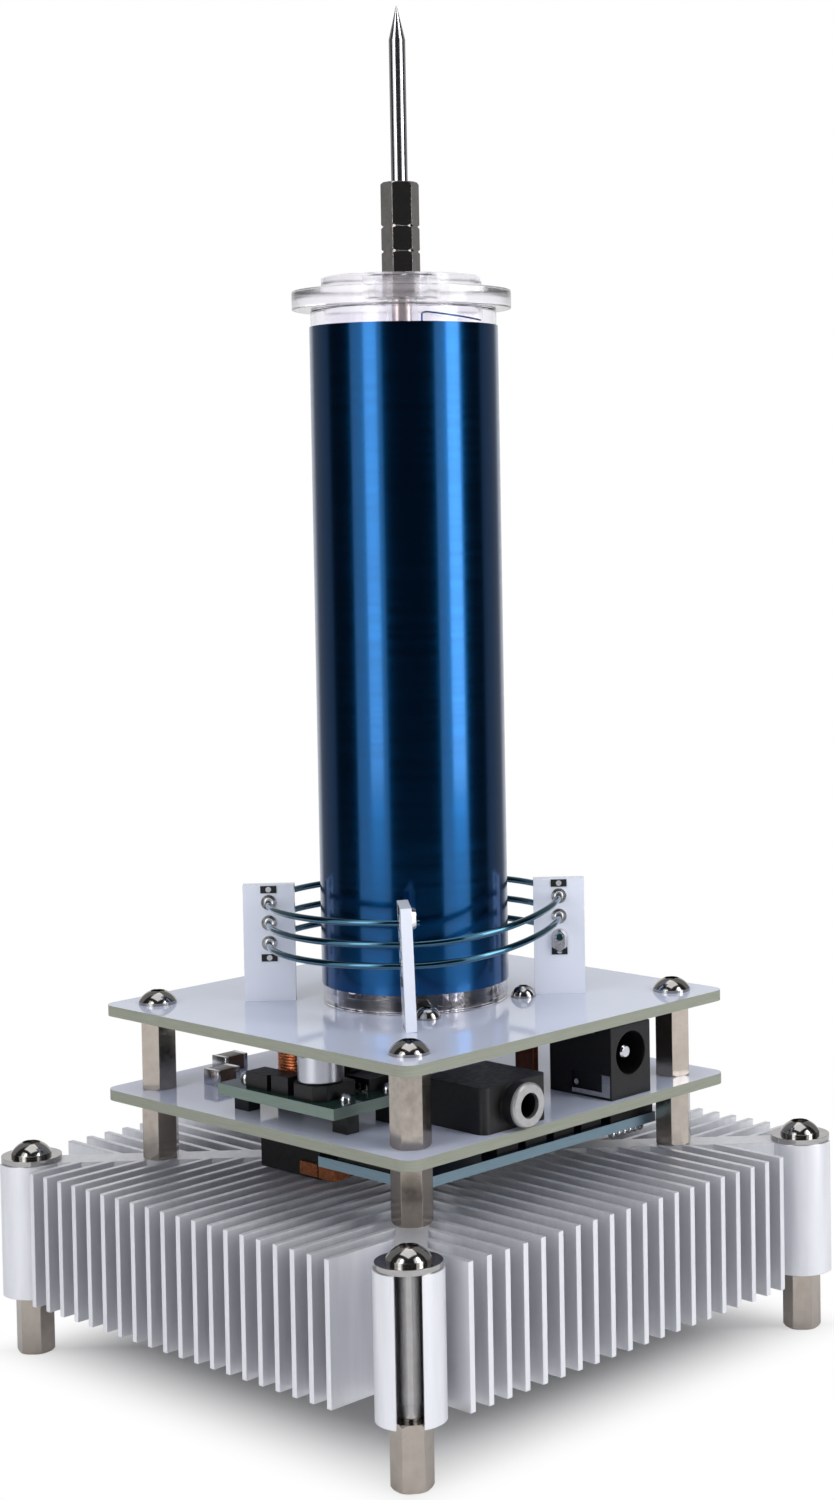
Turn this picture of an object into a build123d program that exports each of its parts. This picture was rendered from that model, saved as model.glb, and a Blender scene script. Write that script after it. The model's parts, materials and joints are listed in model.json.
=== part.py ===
from build123d import *

import math
import os

# Desktop resonant transformer: a wound coil with a discharge needle, standing on two circuit
# boards over an extruded heat sink on four hexagon legs.
# Millimetres. Origin on the table under the coil's axis, +Z up, both jacks face -Y.

# ---------------------------------------------------------------- heat sink and its fasteners
SINK_HEIGHT = 20.0
HUB_SIDE = 30.0
WEB_THICKNESS = 4.4
FIN_THICKNESS = 0.9
FIN_PITCH = 3.437
FIN_NEAR_GAP = 1.4
FIN_FAR_GAP = 5.0
FIN_ROOT = 1.0
BOSS_SPACING = 82.5
BOSS_DIAMETER = 9.5
BOSS_BORE = 3.6
WASHER_DIAMETER = 9.0
WASHER_THICKNESS = 0.8
BOSS_HEAD_DIAMETER = 6.0
BOSS_HEAD_HEIGHT = 2.2
BOSS_SOCKET = 2.5
BOSS_THREAD_REACH = 3.6
BOSS_PLAIN_SHORT = 2.2
BOSS_THREAD_STEP = 0.3

# ---------------------------------------------------------------- hexagon standoffs
HEX_FLATS = 5.0
HEX_EDGE_BREAK = 0.3
THREAD_DIAMETER = 3.0
THREAD_CLEARANCE = 0.05
SCREW_HOLE_CLEARANCE = 0.1
STUD_REACH = 3.0
STUD_BORE_DEPTH = 6.0
LEG_LENGTH = 9.0
LOWER_LENGTH = 9.0
UPPER_LENGTH = 11.2
LEG_TURNS = (21.0, 10.0, 40.0, 10.0)
LOWER_TURNS = (16.0, 35.0, 25.0, 45.0)
UPPER_TURNS = (21.0, 41.0, 20.0, 52.0)

# ---------------------------------------------------------------- circuit boards
BOARD_SIDE = 66.8
BOARD_THICKNESS = 1.6
BOARD_CORNER = 2.2
BOARD_HOLE_SPACING = 55.0
BOARD_HEAD_DIAMETER = 5.7
BOARD_HEAD_HEIGHT = 2.1
BOARD_SOCKET = 2.0
BOARD_SCREW_REACH = 5.0
HEAD_RIM_SHARE = 0.2
SOCKET_FLOOR_SHARE = 0.45

# ---------------------------------------------------------------- coil, from the board up
TUBE_DIAMETER = 27.8
TUBE_WALL = 2.0
TUBE_LENGTH = 103.8
WINDING_THICKNESS = 0.2
WINDING_START = 2.9
WINDING_RIM_GAP = 2.3
GLUE_GAP = 0.04
PLUG_CLEARANCE = 0.15
PLUG_HEIGHT = 3.0
PLUG_SCREW_SPACING = 12.0
PLUG_SCREW_REACH = 2.4
SMALL_THREAD = 2.0
SMALL_HEAD_DIAMETER = 3.8
SMALL_HEAD_HEIGHT = 1.8
SMALL_SOCKET = 1.3
SMALL_SCREW_SPARE = 0.5
SMALL_NUT_FLATS = 4.0
SMALL_NUT_HEIGHT = 1.6
TERMINAL_GAP = 0.6
TERMINAL_ANGLES = (-127.6, -52.4)

# ---------------------------------------------------------------- cap and discharge needle
FLANGE_LIP = 2.5
FLANGE_THICKNESS = 2.8
DISC_DIAMETER = 24.0
DISC_THICKNESS = 2.0
SPIGOT_LENGTH = 4.0
CAP_SHIFT = 0.25
CAP_SHIFT_ANGLE = 136.6
CAP_BORE = 7.9
CAP_FLOOR = 1.3
CAP_STANDOFF_LENGTH = 7.4
NUT_HEIGHT = 3.7
HOLDER_LENGTH = 6.6
HOLDER_THREAD_DEPTH = 3.8
NEEDLE_DIAMETER = 2.5
NEEDLE_LENGTH = 29.0
NEEDLE_CONE = 5.0
NEEDLE_TIP = 0.16
NEEDLE_FIT = 0.03
STUD_END_GAP = 0.4
CAP_HEX_TURN = 23.0
LUG_MARGIN = 0.6
LUG_THICKNESS = 0.3
LUG_TAIL_WIDTH = 1.8
LUG_REACH = 6.5

# ---------------------------------------------------------------- upper lead of the winding
LEAD_WIRE = 0.25
LEAD_ANGLE = -120.7
LEAD_SWEEP = 38.0
LEAD_STEPS = 3
LEAD_BEND = 0.5
LEAD_HOLE = 0.8
LEAD_HOLE_DROP = 1.2
LEAD_GROOVE_WIDTH = 1.8
LEAD_GROOVE_DEPTH = 0.6

# ---------------------------------------------------------------- primary winding and posts
PRIMARY_GAP = 8.0
WIRE_DIAMETER = 1.0
WIRE_LEVELS = 3
WIRE_PITCH = 3.1
WIRE_TOP = 15.0
WIRE_END = 1.7
POST_WIDTH = 7.7
POST_HEIGHT = 17.7
POST_ANGLES = (-136.0, -45.0, 45.0, 135.0)
POST_TWISTS = (6.5, 0.0, 0.0, 0.0)
POST_LEANS = (1.6, 0.0, 0.0, 0.0)
TAB_WIDTH = 3.0
SLOT_CLEARANCE = 0.1
EYELET_DIAMETER = 1.9
EYELET_BORE = 1.4
EYELET_RIM = 2.3
LAND_THICKNESS = 0.12
LAND_WIDTH = 2.4
LAND_HEIGHT = 1.1
LAND_TOP_MARGIN = 0.2
LAND_GAP = 0.5
LUMP_WIDTH = 2.4
LUMP_HEIGHT = 3.6
LUMP_SHIFT = 0.6
LUMP_TAPER = 30.0
WIRE_END_SHOWING = 0.1
GAP_SAMPLES = 400

# ---------------------------------------------------------------- jacks on the lower board
POWER_X = 12.6
POWER_WIDTH = 8.6
POWER_HEADROOM = 0.5
POWER_DEPTH = 12.3
POWER_SETBACK = 1.15
POWER_SHOULDER = 3.3
POWER_SHOULDER_DROP = 1.2
POWER_BORE = 6.4
POWER_BORE_DEPTH = 9.5
POWER_ROOF = 1.0
POWER_PIN = 2.1
POWER_PIN_CHAMFER = 0.26
POWER_PIN_RECESS = 0.9
CONTACT_FRONT = 0.3
CONTACT_LENGTH = 7.8
CONTACT_FOOT = 0.3
CONTACT_HEIGHT = 3.4
CONTACT_DEPTH = 0.5
CONTACT_CLEARANCE = 0.1
CONTACT_STRIP = 0.7
CONTACT_UPRIGHT = 1.6
CONTACT_RIVET = 0.9
AUDIO_X = -11.15
AUDIO_WIDTH = 12.8
AUDIO_HEIGHT = 6.6
AUDIO_DEPTH = 12.3
AUDIO_SETBACK = 1.65
AUDIO_NOSE = 6.4
AUDIO_NOSE_STEP = 0.15
AUDIO_NOSE_LENGTH = 2.7
AUDIO_RING_LENGTH = 0.7
AUDIO_RING_CHAMFER = 0.25
AUDIO_BORE = 3.6
AUDIO_BORE_DEPTH = 13.0
AUDIO_AXIS_HEIGHT = 3.5
AUDIO_CORNER = 1.2
AUDIO_SLOT_START = 4.0
AUDIO_SLOT_LENGTH = 5.0
AUDIO_SLOT_WIDTH = 1.6
AUDIO_SLOT_DEPTH = 0.5

# ---------------------------------------------------------------- converter module
# places on the module are measured from its corner nearest both the front and the -X side
MODULE_WIDTH = 17.0
MODULE_LENGTH = 25.0
MODULE_THICKNESS = 1.6
MODULE_SETBACK = 1.1
MODULE_FRONT = -17.2
SPACER_HEIGHT = 2.8
SPACER_WIDTH = 2.2
SPACER_LENGTH = 3.1
PIN_INSET = 4.4
PIN_FRONT_INSET = 2.5
PIN_REAR_INSET = 1.25
PIN_DOME = 1.8
PIN_DOME_HEIGHT = 1.1
CAN_DIAMETER = 6.6
CAN_HEADROOM = 0.4
CAN_EDGE = 0.4
CAN_BASE_SIDE = 6.8
CAN_BASE_HEIGHT = 2.2
CAN_BASE_CHAMFER = 1.5
CAN_PLACE = (4.2, 7.3)
DRUM_DIAMETER = 7.2
DRUM_HEADROOM = 0.6
DRUM_FLANGE = 1.3
DRUM_CORE = 3.2
DRUM_WINDING = 6.2
DRUM_PLACE = (8.55, 16.9)
SWITCHER_PLACE = (12.2, 6.3)
SWITCHER_SIZE = (3.9, 4.9, 1.7)
SWITCHER_LEADS = 4
LEG_PITCH = 1.27
LEG_WIDTH = 0.42
LEG_THICKNESS = 0.22
LEG_REACH = 1.0
LEG_RISE = 0.9
DIODE_PLACE = (14.1, 12.4)
DIODE_SIZE = (4.2, 5.4, 2.3)
REGULATOR_PLACE = (2.85, 17.6)
REGULATOR_SIZE = (3.6, 4.6, 2.3)
CHOKE_PLACE = (2.85, 12.7)
CHOKE_SIZE = (3.4, 3.6, 2.6)

# ---------------------------------------------------------------- loose parts of the lower board
CHIP_CAP_PLACES = ((-19.85, 22.1), (-13.2, 28.3))
CHIP_CAP_SIZE = (4.5, 3.2, 2.4)
FILM_CAP_PLACE = (6.64, -16.75)
FILM_CAP_SIZE = (1.1, 3.7)
FILM_CAP_HEADROOM = 2.2

# ---------------------------------------------------------------- driver under the lower board
DRIVER_X = (-22.6, 27.8)
DRIVER_Y = (-23.6, -2.7)
DRIVER_THICKNESS = 1.5
DRIVER_DROP = 4.95
SOCKET_MARGIN = 0.3
SOCKET_LENGTH = 9.6
SOCKET_WIDTH = 5.0
STRIP_WIDTH = 2.6
STRIP_END_MARGIN = 4.0
JOINT_COUNT = 6
JOINT_PITCH = 1.27
JOINT_DIAMETER = 1.1
JOINT_HEIGHT = 1.3
ROW_CHIPS = 4
ROW_CHIP_PITCH = 6.0
ROW_CHIP_SIZE = (4.4, 3.2, 1.5)
ROW_CHIP_MARGIN = 1.2
GATE_CHIP_SIZE = (9.0, 9.0, 1.6)
BLOCK_X = (-21.9, -14.0)
BLOCK_GAP = 0.4
BLOCK_LENGTH = 13.1
SINK_GAP = 0.3
TAB_LIFT = 0.8
TAB_THICKNESS = 0.6
TAB_LENGTH = 3.8
TAB_HEIGHT = 1.9
LONG_TAB_LENGTH = 3.4
LONG_TAB_SPAN = 3.0
TRANSISTOR_WIDTH = 15.9
TRANSISTOR_LENGTH = 20.0
TRANSISTOR_THICKNESS = 5.0
TRANSISTOR_PLACE = (4.0, 9.6)
TRANSISTOR_HOLE = 3.6
TRANSISTOR_HOLE_INSET = 5.7
BLADE_PITCH = 5.45
BLADE_WIDTH = 1.3
BLADE_THICKNESS = 0.6
BLADE_RUN = 3.4

# ---------------------------------------------------------------- levels that follow
SINK_SIDE = BOSS_SPACING + BOSS_DIAMETER
SINK_BOTTOM = LEG_LENGTH
SINK_TOP = SINK_BOTTOM + SINK_HEIGHT
LOWER_BOTTOM = SINK_TOP + LOWER_LENGTH
LOWER_TOP = LOWER_BOTTOM + BOARD_THICKNESS
UPPER_BOTTOM = LOWER_TOP + UPPER_LENGTH
UPPER_TOP = UPPER_BOTTOM + BOARD_THICKNESS
TUBE_TOP = UPPER_TOP + TUBE_LENGTH
DISC_TOP = TUBE_TOP + FLANGE_THICKNESS + DISC_THICKNESS
CAP_SEAT = TUBE_TOP + CAP_FLOOR
STANDOFF_TOP = CAP_SEAT + CAP_STANDOFF_LENGTH
NUT_TOP = STANDOFF_TOP + NUT_HEIGHT
HOLDER_TOP = NUT_TOP + HOLDER_LENGTH
MODULE_BOTTOM = LOWER_TOP + SPACER_HEIGHT
MODULE_TOP = MODULE_BOTTOM + MODULE_THICKNESS
DRIVER_TOP = LOWER_BOTTOM - DRIVER_DROP
DRIVER_BOTTOM = DRIVER_TOP - DRIVER_THICKNESS
BOARD_FRONT = -BOARD_SIDE / 2
MODULE_CORNER = (BOARD_FRONT + MODULE_SETBACK, MODULE_FRONT)
SPIGOT_LOW = TUBE_TOP - SPIGOT_LENGTH
LUG_LOW = SPIGOT_LOW - LUG_THICKNESS
WINDING_TOP = TUBE_TOP - WINDING_RIM_GAP

POWER_HEIGHT = UPPER_LENGTH - POWER_HEADROOM
POWER_FRONT = BOARD_FRONT + POWER_SETBACK
POWER_FACE = POWER_X - POWER_WIDTH / 2
POWER_LEVEL = LOWER_TOP + POWER_HEIGHT - POWER_ROOF - POWER_BORE / 2
AUDIO_FRONT = BOARD_FRONT + AUDIO_SETBACK
AUDIO_LEVEL = LOWER_TOP + AUDIO_AXIS_HEIGHT
BLOCK_Y = (DRIVER_Y[1] + BLOCK_GAP, DRIVER_Y[1] + BLOCK_GAP + BLOCK_LENGTH)

TUBE_BORE = TUBE_DIAMETER - 2 * TUBE_WALL
FLANGE_DIAMETER = TUBE_DIAMETER + 2 * FLANGE_LIP
PRIMARY_RADIUS = TUBE_DIAMETER / 2 + PRIMARY_GAP
SCREW_HOLE = THREAD_DIAMETER + 2 * SCREW_HOLE_CLEARANCE
TAPPED_HOLE = THREAD_DIAMETER + 2 * THREAD_CLEARANCE
LEG_THREAD = THREAD_DIAMETER - BOSS_THREAD_STEP
LEG_HOLE = LEG_THREAD + 2 * THREAD_CLEARANCE
SMALL_HOLE = SMALL_THREAD + 2 * SCREW_HOLE_CLEARANCE

CORNERS = ((-1, -1), (1, -1), (1, 1), (-1, 1))
DIAGONALS = (-135.0, -45.0, 45.0, 135.0)
ON_BASE = (Align.CENTER, Align.CENTER, Align.MIN)

# how far a cutter runs past what it cuts, and the bend below which a wire counts as straight
PAST = 1.0
STRAIGHT = 1e-6


# ---------------------------------------------------------------- shared shapes
def save(name, solids):
    """Write one node, which is one solid or a group of separate solids."""
    export_step(Compound(children=[Part(solid.wrapped) for solid in solids]), f"parts/{name}.step")


def solids_of(shape):
    return list(shape.solids())


def rod(diameter, low, high, x=0.0, y=0.0):
    """An upright cylinder from one level to another."""
    return Pos(x, y, low) * Cylinder(diameter / 2, high - low, align=ON_BASE)


def block(x_span, y_span, z_span):
    """A box given by its three spans."""
    size = [span[1] - span[0] for span in (x_span, y_span, z_span)]
    middle = [(span[0] + span[1]) / 2 for span in (x_span, y_span, z_span)]
    return Pos(*middle) * Box(*size)


def block_at(place, size, low):
    """A box given by its middle in plan, its two plan sizes with its height, and its foot."""
    return Pos(place[0], place[1], low) * Box(*size, align=ON_BASE)


def ring(outer, inner, low, high, x=0.0, y=0.0):
    return rod(outer, low, high, x, y) - rod(inner, low - PAST, high + PAST, x, y)


def hexagon(flats, low, high, turn, x=0.0, y=0.0):
    """A hexagon bar whose corners are broken at both ends."""
    corner_radius = flats / math.sqrt(3)
    bar = extrude(RegularPolygon(corner_radius, 6), high - low)
    turned = Cylinder(corner_radius, high - low, align=ON_BASE)
    turned = chamfer(turned.edges().filter_by(GeomType.CIRCLE), HEX_EDGE_BREAK)
    return Pos(x, y, low) * Rot(0, 0, turn) * (bar & turned)


def dome(diameter, height, low, x=0.0, y=0.0):
    """A low dome: a short rim under a spherical cap."""
    rim = height * HEAD_RIM_SHARE
    rise = height - rim
    radius = diameter / 2
    ball = (radius**2 + rise**2) / (2 * rise)
    middle = (radius / 2, rim + math.sqrt(ball**2 - (radius / 2) ** 2) - ball + rise)
    outline = Polyline((0, height), (0, 0), (radius, 0), (radius, rim))
    outline += ThreePointArc((radius, rim), middle, (0, height))
    profile = make_face(outline)
    return Pos(x, y, low) * revolve(Plane.XZ * profile, Axis.Z)


def button_screw(head, head_height, seat, reach, socket, thread=THREAD_DIAMETER, x=0.0, y=0.0):
    """A dome-headed screw whose head sits on a level and whose shank goes down from it."""
    screw = dome(head, head_height, seat, x, y)
    screw += rod(thread, seat - reach, seat + head_height * HEAD_RIM_SHARE, x, y)
    key = extrude(RegularPolygon(socket / math.sqrt(3), 6), head_height)
    return screw - Pos(x, y, seat + head_height * SOCKET_FLOOR_SHARE) * key


def at_corners(spacing):
    return [(sx * spacing / 2, sy * spacing / 2) for sx, sy in CORNERS]


def polar(radius, angle):
    """A place in plan, from its distance to the coil's axis and its direction in degrees."""
    return radius * math.cos(math.radians(angle)), radius * math.sin(math.radians(angle))


def biarc(start, start_dir, end, end_dir):
    """Two tangent arcs in space that join two points with the given directions."""
    chord = end - start
    square = 2 * (1 - start_dir.dot(end_dir))
    along = chord.dot(start_dir + end_dir)
    reach = chord.dot(chord) / (2 * along)
    if square > STRAIGHT:
        reach = (math.sqrt(along**2 + square * chord.dot(chord)) - along) / square
    joint = (start + end + (start_dir - end_dir) * reach) * 0.5
    joint_dir = (end - start - (start_dir + end_dir) * reach).normalized()
    return [TangentArc(start, joint, tangent=start_dir), TangentArc(joint, end, tangent=joint_dir)]


def route(stops):
    """One smooth wire through stops, each a place with its heading, by lines and biarcs."""
    edges = []
    for (start, start_dir), (end, end_dir) in zip(stops, stops[1:]):
        bend = (end - start).cross(start_dir).length + (end - start).cross(end_dir).length
        edges += [Line(start, end)] if bend < STRAIGHT else biarc(start, start_dir, end, end_dir)
    return Wire(edges)


def tube_along(path, diameter):
    """One unbroken round tube."""
    return sweep(Plane(path.position_at(0), z_dir=path.tangent_at(0)) * Circle(diameter / 2), path)


# ---------------------------------------------------------------- heat sink
def fin_places():
    """Fin middles along one side, from the boss that the row starts beside."""
    half_room = (BOSS_SPACING - BOSS_DIAMETER) / 2
    place = -(half_room - FIN_NEAR_GAP - FIN_THICKNESS / 2)
    places = []
    while place + FIN_THICKNESS / 2 < half_room - FIN_FAR_GAP:
        places.append(place)
        place += FIN_PITCH
    return places


def sink_quarter():
    """One side of the section: its fins, from the outer square in to the web or the hub."""
    quarter = Sketch()
    for place in fin_places():
        inner = max(abs(place), HUB_SIDE / 2 - FIN_ROOT)
        length = SINK_SIDE / 2 - inner
        quarter += Pos(place, -(inner + length / 2)) * Rectangle(FIN_THICKNESS, length)
    return quarter


def boss_slots():
    slots = Sketch()
    for angle in DIAGONALS:
        centre = BOSS_SPACING / math.sqrt(2)
        slot = Pos(centre, 0) * Circle(BOSS_BORE / 2)
        slot += Pos(centre + BOSS_DIAMETER / 2, 0) * Rectangle(BOSS_DIAMETER, BOSS_BORE)
        slots += Rot(0, 0, angle) * slot
    return slots


def make_heatsink():
    section = Rectangle(HUB_SIDE, HUB_SIDE)
    web_length = BOSS_SPACING * math.sqrt(2)
    for angle in (45, 135):
        section += Rot(0, 0, angle) * Rectangle(web_length, WEB_THICKNESS)
    for x, y in at_corners(BOSS_SPACING):
        section += Pos(x, y) * Circle(BOSS_DIAMETER / 2)
    quarter = sink_quarter()
    for angle in (0, 90, 180, 270):
        section += Rot(0, 0, angle) * quarter
    section -= boss_slots()
    sink = Pos(0, 0, SINK_BOTTOM) * extrude(section, SINK_HEIGHT)
    for x, y in at_corners(BOARD_HOLE_SPACING):
        sink -= rod(TAPPED_HOLE, SINK_TOP - STUD_BORE_DEPTH, SINK_TOP + PAST, x, y)
    hole_x, hole_y = transistor_hole()
    return [sink - rod(TAPPED_HOLE, SINK_TOP - STUD_BORE_DEPTH, SINK_TOP + PAST, hole_x, hole_y)]


# ---------------------------------------------------------------- standoffs, washers and screws
def make_legs():
    legs = []
    for (x, y), turn in zip(at_corners(BOSS_SPACING), LEG_TURNS):
        leg = hexagon(HEX_FLATS, 0, LEG_LENGTH, turn, x, y)
        legs.append(leg - rod(LEG_HOLE, -PAST, LEG_LENGTH + PAST, x, y))
    return legs


def make_standoffs(low, length, turns, bore_depth):
    """Board standoffs: a threaded stud below, a tapped hole above."""
    standoffs = []
    for (x, y), turn in zip(at_corners(BOARD_HOLE_SPACING), turns):
        body = hexagon(HEX_FLATS, low, low + length, turn, x, y)
        body += rod(THREAD_DIAMETER, low - BOARD_THICKNESS - STUD_REACH, low + HEX_EDGE_BREAK, x, y)
        standoffs.append(body - rod(TAPPED_HOLE, low + length - bore_depth, low + length + PAST, x, y))
    return standoffs


def make_boss_washers():
    top = SINK_TOP + WASHER_THICKNESS
    return [ring(WASHER_DIAMETER, SCREW_HOLE, SINK_TOP, top, x, y) for x, y in at_corners(BOSS_SPACING)]


def make_boss_screws():
    """Long screws through the open bosses into the legs: a plain shank above a thinner thread."""
    seat = SINK_TOP + WASHER_THICKNESS
    plain = SINK_HEIGHT + WASHER_THICKNESS - BOSS_PLAIN_SHORT
    screws = []
    for x, y in at_corners(BOSS_SPACING):
        screw = button_screw(BOSS_HEAD_DIAMETER, BOSS_HEAD_HEIGHT, seat, plain, BOSS_SOCKET, x=x, y=y)
        thread_end = SINK_BOTTOM - BOSS_THREAD_REACH
        screws.append(screw + rod(LEG_THREAD, thread_end, seat - plain + PAST, x, y))
    return screws


def make_board_screws():
    sizes = (BOARD_HEAD_DIAMETER, BOARD_HEAD_HEIGHT, UPPER_TOP, BOARD_SCREW_REACH, BOARD_SOCKET)
    return [button_screw(*sizes, x=x, y=y) for x, y in at_corners(BOARD_HOLE_SPACING)]


# ---------------------------------------------------------------- boards
def board_blank(low):
    blank = extrude(RectangleRounded(BOARD_SIDE, BOARD_SIDE, BOARD_CORNER), BOARD_THICKNESS)
    blank = Pos(0, 0, low) * blank
    for x, y in at_corners(BOARD_HOLE_SPACING):
        blank -= rod(SCREW_HOLE, low - PAST, low + BOARD_THICKNESS + PAST, x, y)
    return blank


def terminal_places():
    radius = TUBE_DIAMETER / 2 + TERMINAL_GAP + SMALL_HEAD_DIAMETER / 2
    return [polar(radius, angle) for angle in TERMINAL_ANGLES]


def plug_screw_places():
    return [(0.0, -PLUG_SCREW_SPACING / 2), (0.0, PLUG_SCREW_SPACING / 2)]


def make_upper_board():
    board = board_blank(UPPER_BOTTOM)
    low, high = UPPER_BOTTOM - PAST, UPPER_TOP + PAST
    for x, y in plug_screw_places():
        board -= rod(SCREW_HOLE, low, high, x, y)
    for x, y in terminal_places():
        board -= rod(SMALL_HOLE, low, high, x, y)
    slot_length = TAB_WIDTH + 2 * SLOT_CLEARANCE
    slot_width = BOARD_THICKNESS + 2 * SLOT_CLEARANCE
    for angle, twist in zip(POST_ANGLES, POST_TWISTS):
        slot = Box(slot_length, slot_width, high - low)
        middle = Pos(PRIMARY_RADIUS, 0, (low + high) / 2)
        board -= Rot(0, 0, angle) * middle * Rot(0, 0, twist) * slot
    return [board]


def make_lower_board():
    return [board_blank(LOWER_BOTTOM)]


# ---------------------------------------------------------------- coil
def make_coil_tube():
    """Clear tube with a small hole near its rim where the winding's upper end goes inside."""
    tube = ring(TUBE_DIAMETER, TUBE_BORE, UPPER_TOP, TUBE_TOP)
    drill = Pos((TUBE_DIAMETER - TUBE_WALL) / 2, 0, TUBE_TOP - LEAD_HOLE_DROP) * Rot(0, 90, 0)
    return [tube - Rot(0, 0, LEAD_ANGLE) * drill * Cylinder(LEAD_HOLE / 2, TUBE_WALL + 2 * PAST)]


def make_secondary():
    inner = TUBE_DIAMETER + GLUE_GAP
    return [ring(inner + 2 * WINDING_THICKNESS, inner, UPPER_TOP + WINDING_START, WINDING_TOP)]


def make_coil_plug():
    plug = rod(TUBE_BORE - 2 * PLUG_CLEARANCE, UPPER_TOP, UPPER_TOP + PLUG_HEIGHT)
    for x, y in plug_screw_places():
        plug -= rod(TAPPED_HOLE, UPPER_TOP - PAST, UPPER_TOP + PLUG_HEIGHT + PAST, x, y)
    return [plug]


def make_plug_screws():
    """Screws up through the board into the plug that holds the coil."""
    reach = BOARD_THICKNESS + PLUG_SCREW_REACH
    screw = button_screw(BOARD_HEAD_DIAMETER, BOARD_HEAD_HEIGHT, 0, reach, BOARD_SOCKET)
    return [Pos(x, y, UPPER_BOTTOM) * Rot(180, 0, 0) * screw for x, y in plug_screw_places()]


def make_terminal_screws():
    reach = BOARD_THICKNESS + SMALL_NUT_HEIGHT + SMALL_SCREW_SPARE
    sizes = (SMALL_HEAD_DIAMETER, SMALL_HEAD_HEIGHT, UPPER_TOP, reach, SMALL_SOCKET)
    return [button_screw(*sizes, thread=SMALL_THREAD, x=x, y=y) for x, y in terminal_places()]


def make_terminal_nuts():
    nuts = []
    for x, y in terminal_places():
        nut = hexagon(SMALL_NUT_FLATS, UPPER_BOTTOM - SMALL_NUT_HEIGHT, UPPER_BOTTOM, 0, x, y)
        hole = SMALL_THREAD + 2 * THREAD_CLEARANCE
        nuts.append(nut - rod(hole, UPPER_BOTTOM - SMALL_NUT_HEIGHT - PAST, UPPER_BOTTOM + PAST, x, y))
    return nuts


# ---------------------------------------------------------------- cap and needle
def off_centre(make):
    """The cap is glued on a little off the tube's axis, with all that it carries."""
    x, y = polar(CAP_SHIFT, CAP_SHIFT_ANGLE)
    return lambda: [Pos(x, y, 0) * solid for solid in make()]


def make_cap():
    """Clear cap: a grooved spigot in the tube, a flange on its rim and a smaller disc, with a pocket."""
    spigot = TUBE_BORE - 2 * (PLUG_CLEARANCE + CAP_SHIFT)
    floor = spigot / 2 - LEAD_GROOVE_DEPTH
    groove = Pos(floor, 0, SPIGOT_LOW - PAST) * Box(
        spigot, LEAD_GROOVE_WIDTH, SPIGOT_LENGTH + PAST, align=(Align.MIN, Align.CENTER, Align.MIN)
    )
    cap = rod(spigot, SPIGOT_LOW, TUBE_TOP) - Rot(0, 0, LEAD_ANGLE) * groove
    cap += rod(FLANGE_DIAMETER, TUBE_TOP, TUBE_TOP + FLANGE_THICKNESS)
    cap += rod(DISC_DIAMETER, TUBE_TOP + FLANGE_THICKNESS, DISC_TOP)
    cap -= rod(CAP_BORE, CAP_SEAT, DISC_TOP + PAST)
    return [cap - rod(SCREW_HOLE, SPIGOT_LOW - PAST, DISC_TOP + PAST)]


def make_cap_screw():
    """A screw up through the cap's floor into the standoff in its pocket."""
    reach = LUG_THICKNESS + SPIGOT_LENGTH + CAP_FLOOR + STUD_REACH
    screw = button_screw(BOARD_HEAD_DIAMETER, BOARD_HEAD_HEIGHT, 0, reach, BOARD_SOCKET)
    return [Pos(0, 0, LUG_LOW) * Rot(180, 0, 0) * screw]


def make_cap_standoff():
    """Standoff with a threaded stud that carries the lock nut and the needle holder."""
    body = hexagon(HEX_FLATS, CAP_SEAT, STANDOFF_TOP, CAP_HEX_TURN)
    stud_top = NUT_TOP + HOLDER_THREAD_DEPTH - STUD_END_GAP
    body += rod(THREAD_DIAMETER, STANDOFF_TOP - HEX_EDGE_BREAK, stud_top)
    return [body - rod(TAPPED_HOLE, CAP_SEAT - PAST, CAP_SEAT + STUD_REACH + PAST)]


def make_lock_nut():
    nut = hexagon(HEX_FLATS, STANDOFF_TOP, NUT_TOP, CAP_HEX_TURN)
    return [nut - rod(TAPPED_HOLE, STANDOFF_TOP - PAST, NUT_TOP + PAST)]


def make_needle_holder():
    holder = hexagon(HEX_FLATS, NUT_TOP, HOLDER_TOP, CAP_HEX_TURN)
    holder -= rod(TAPPED_HOLE, NUT_TOP - PAST, NUT_TOP + HOLDER_THREAD_DEPTH)
    return [holder - rod(NEEDLE_DIAMETER + 2 * NEEDLE_FIT, NUT_TOP, HOLDER_TOP + PAST)]


def make_needle():
    low = NUT_TOP + HOLDER_THREAD_DEPTH
    shaft_top = low + NEEDLE_LENGTH - NEEDLE_CONE
    shaft = rod(NEEDLE_DIAMETER, low, shaft_top)
    cone = Cone(NEEDLE_DIAMETER / 2, NEEDLE_TIP / 2, NEEDLE_CONE, align=ON_BASE)
    return [shaft + Pos(0, 0, shaft_top) * cone]


def make_lead_lug():
    """Ring lug under the cap screw, where the winding's upper end is soldered."""
    levels = (LUG_LOW, SPIGOT_LOW)
    tail = block((0, LUG_REACH), (-LUG_TAIL_WIDTH / 2, LUG_TAIL_WIDTH / 2), levels)
    lug = rod(BOARD_HEAD_DIAMETER + LUG_MARGIN, *levels) + Rot(0, 0, LEAD_ANGLE) * tail
    return [lug - rod(SCREW_HOLE, LUG_LOW - PAST, SPIGOT_LOW + PAST)]


def lead_stop(radius, angle, level, inward, rise):
    """A place on the lead, heading round the tube, inwards or up and down."""
    x, y = polar(1, angle)
    around = 0 if inward or abs(rise) == 1 else 1
    heading = Vector(around * y - inward * x, -around * x - inward * y, rise)
    return Vector(radius * x, radius * y, level), heading.normalized()


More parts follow.
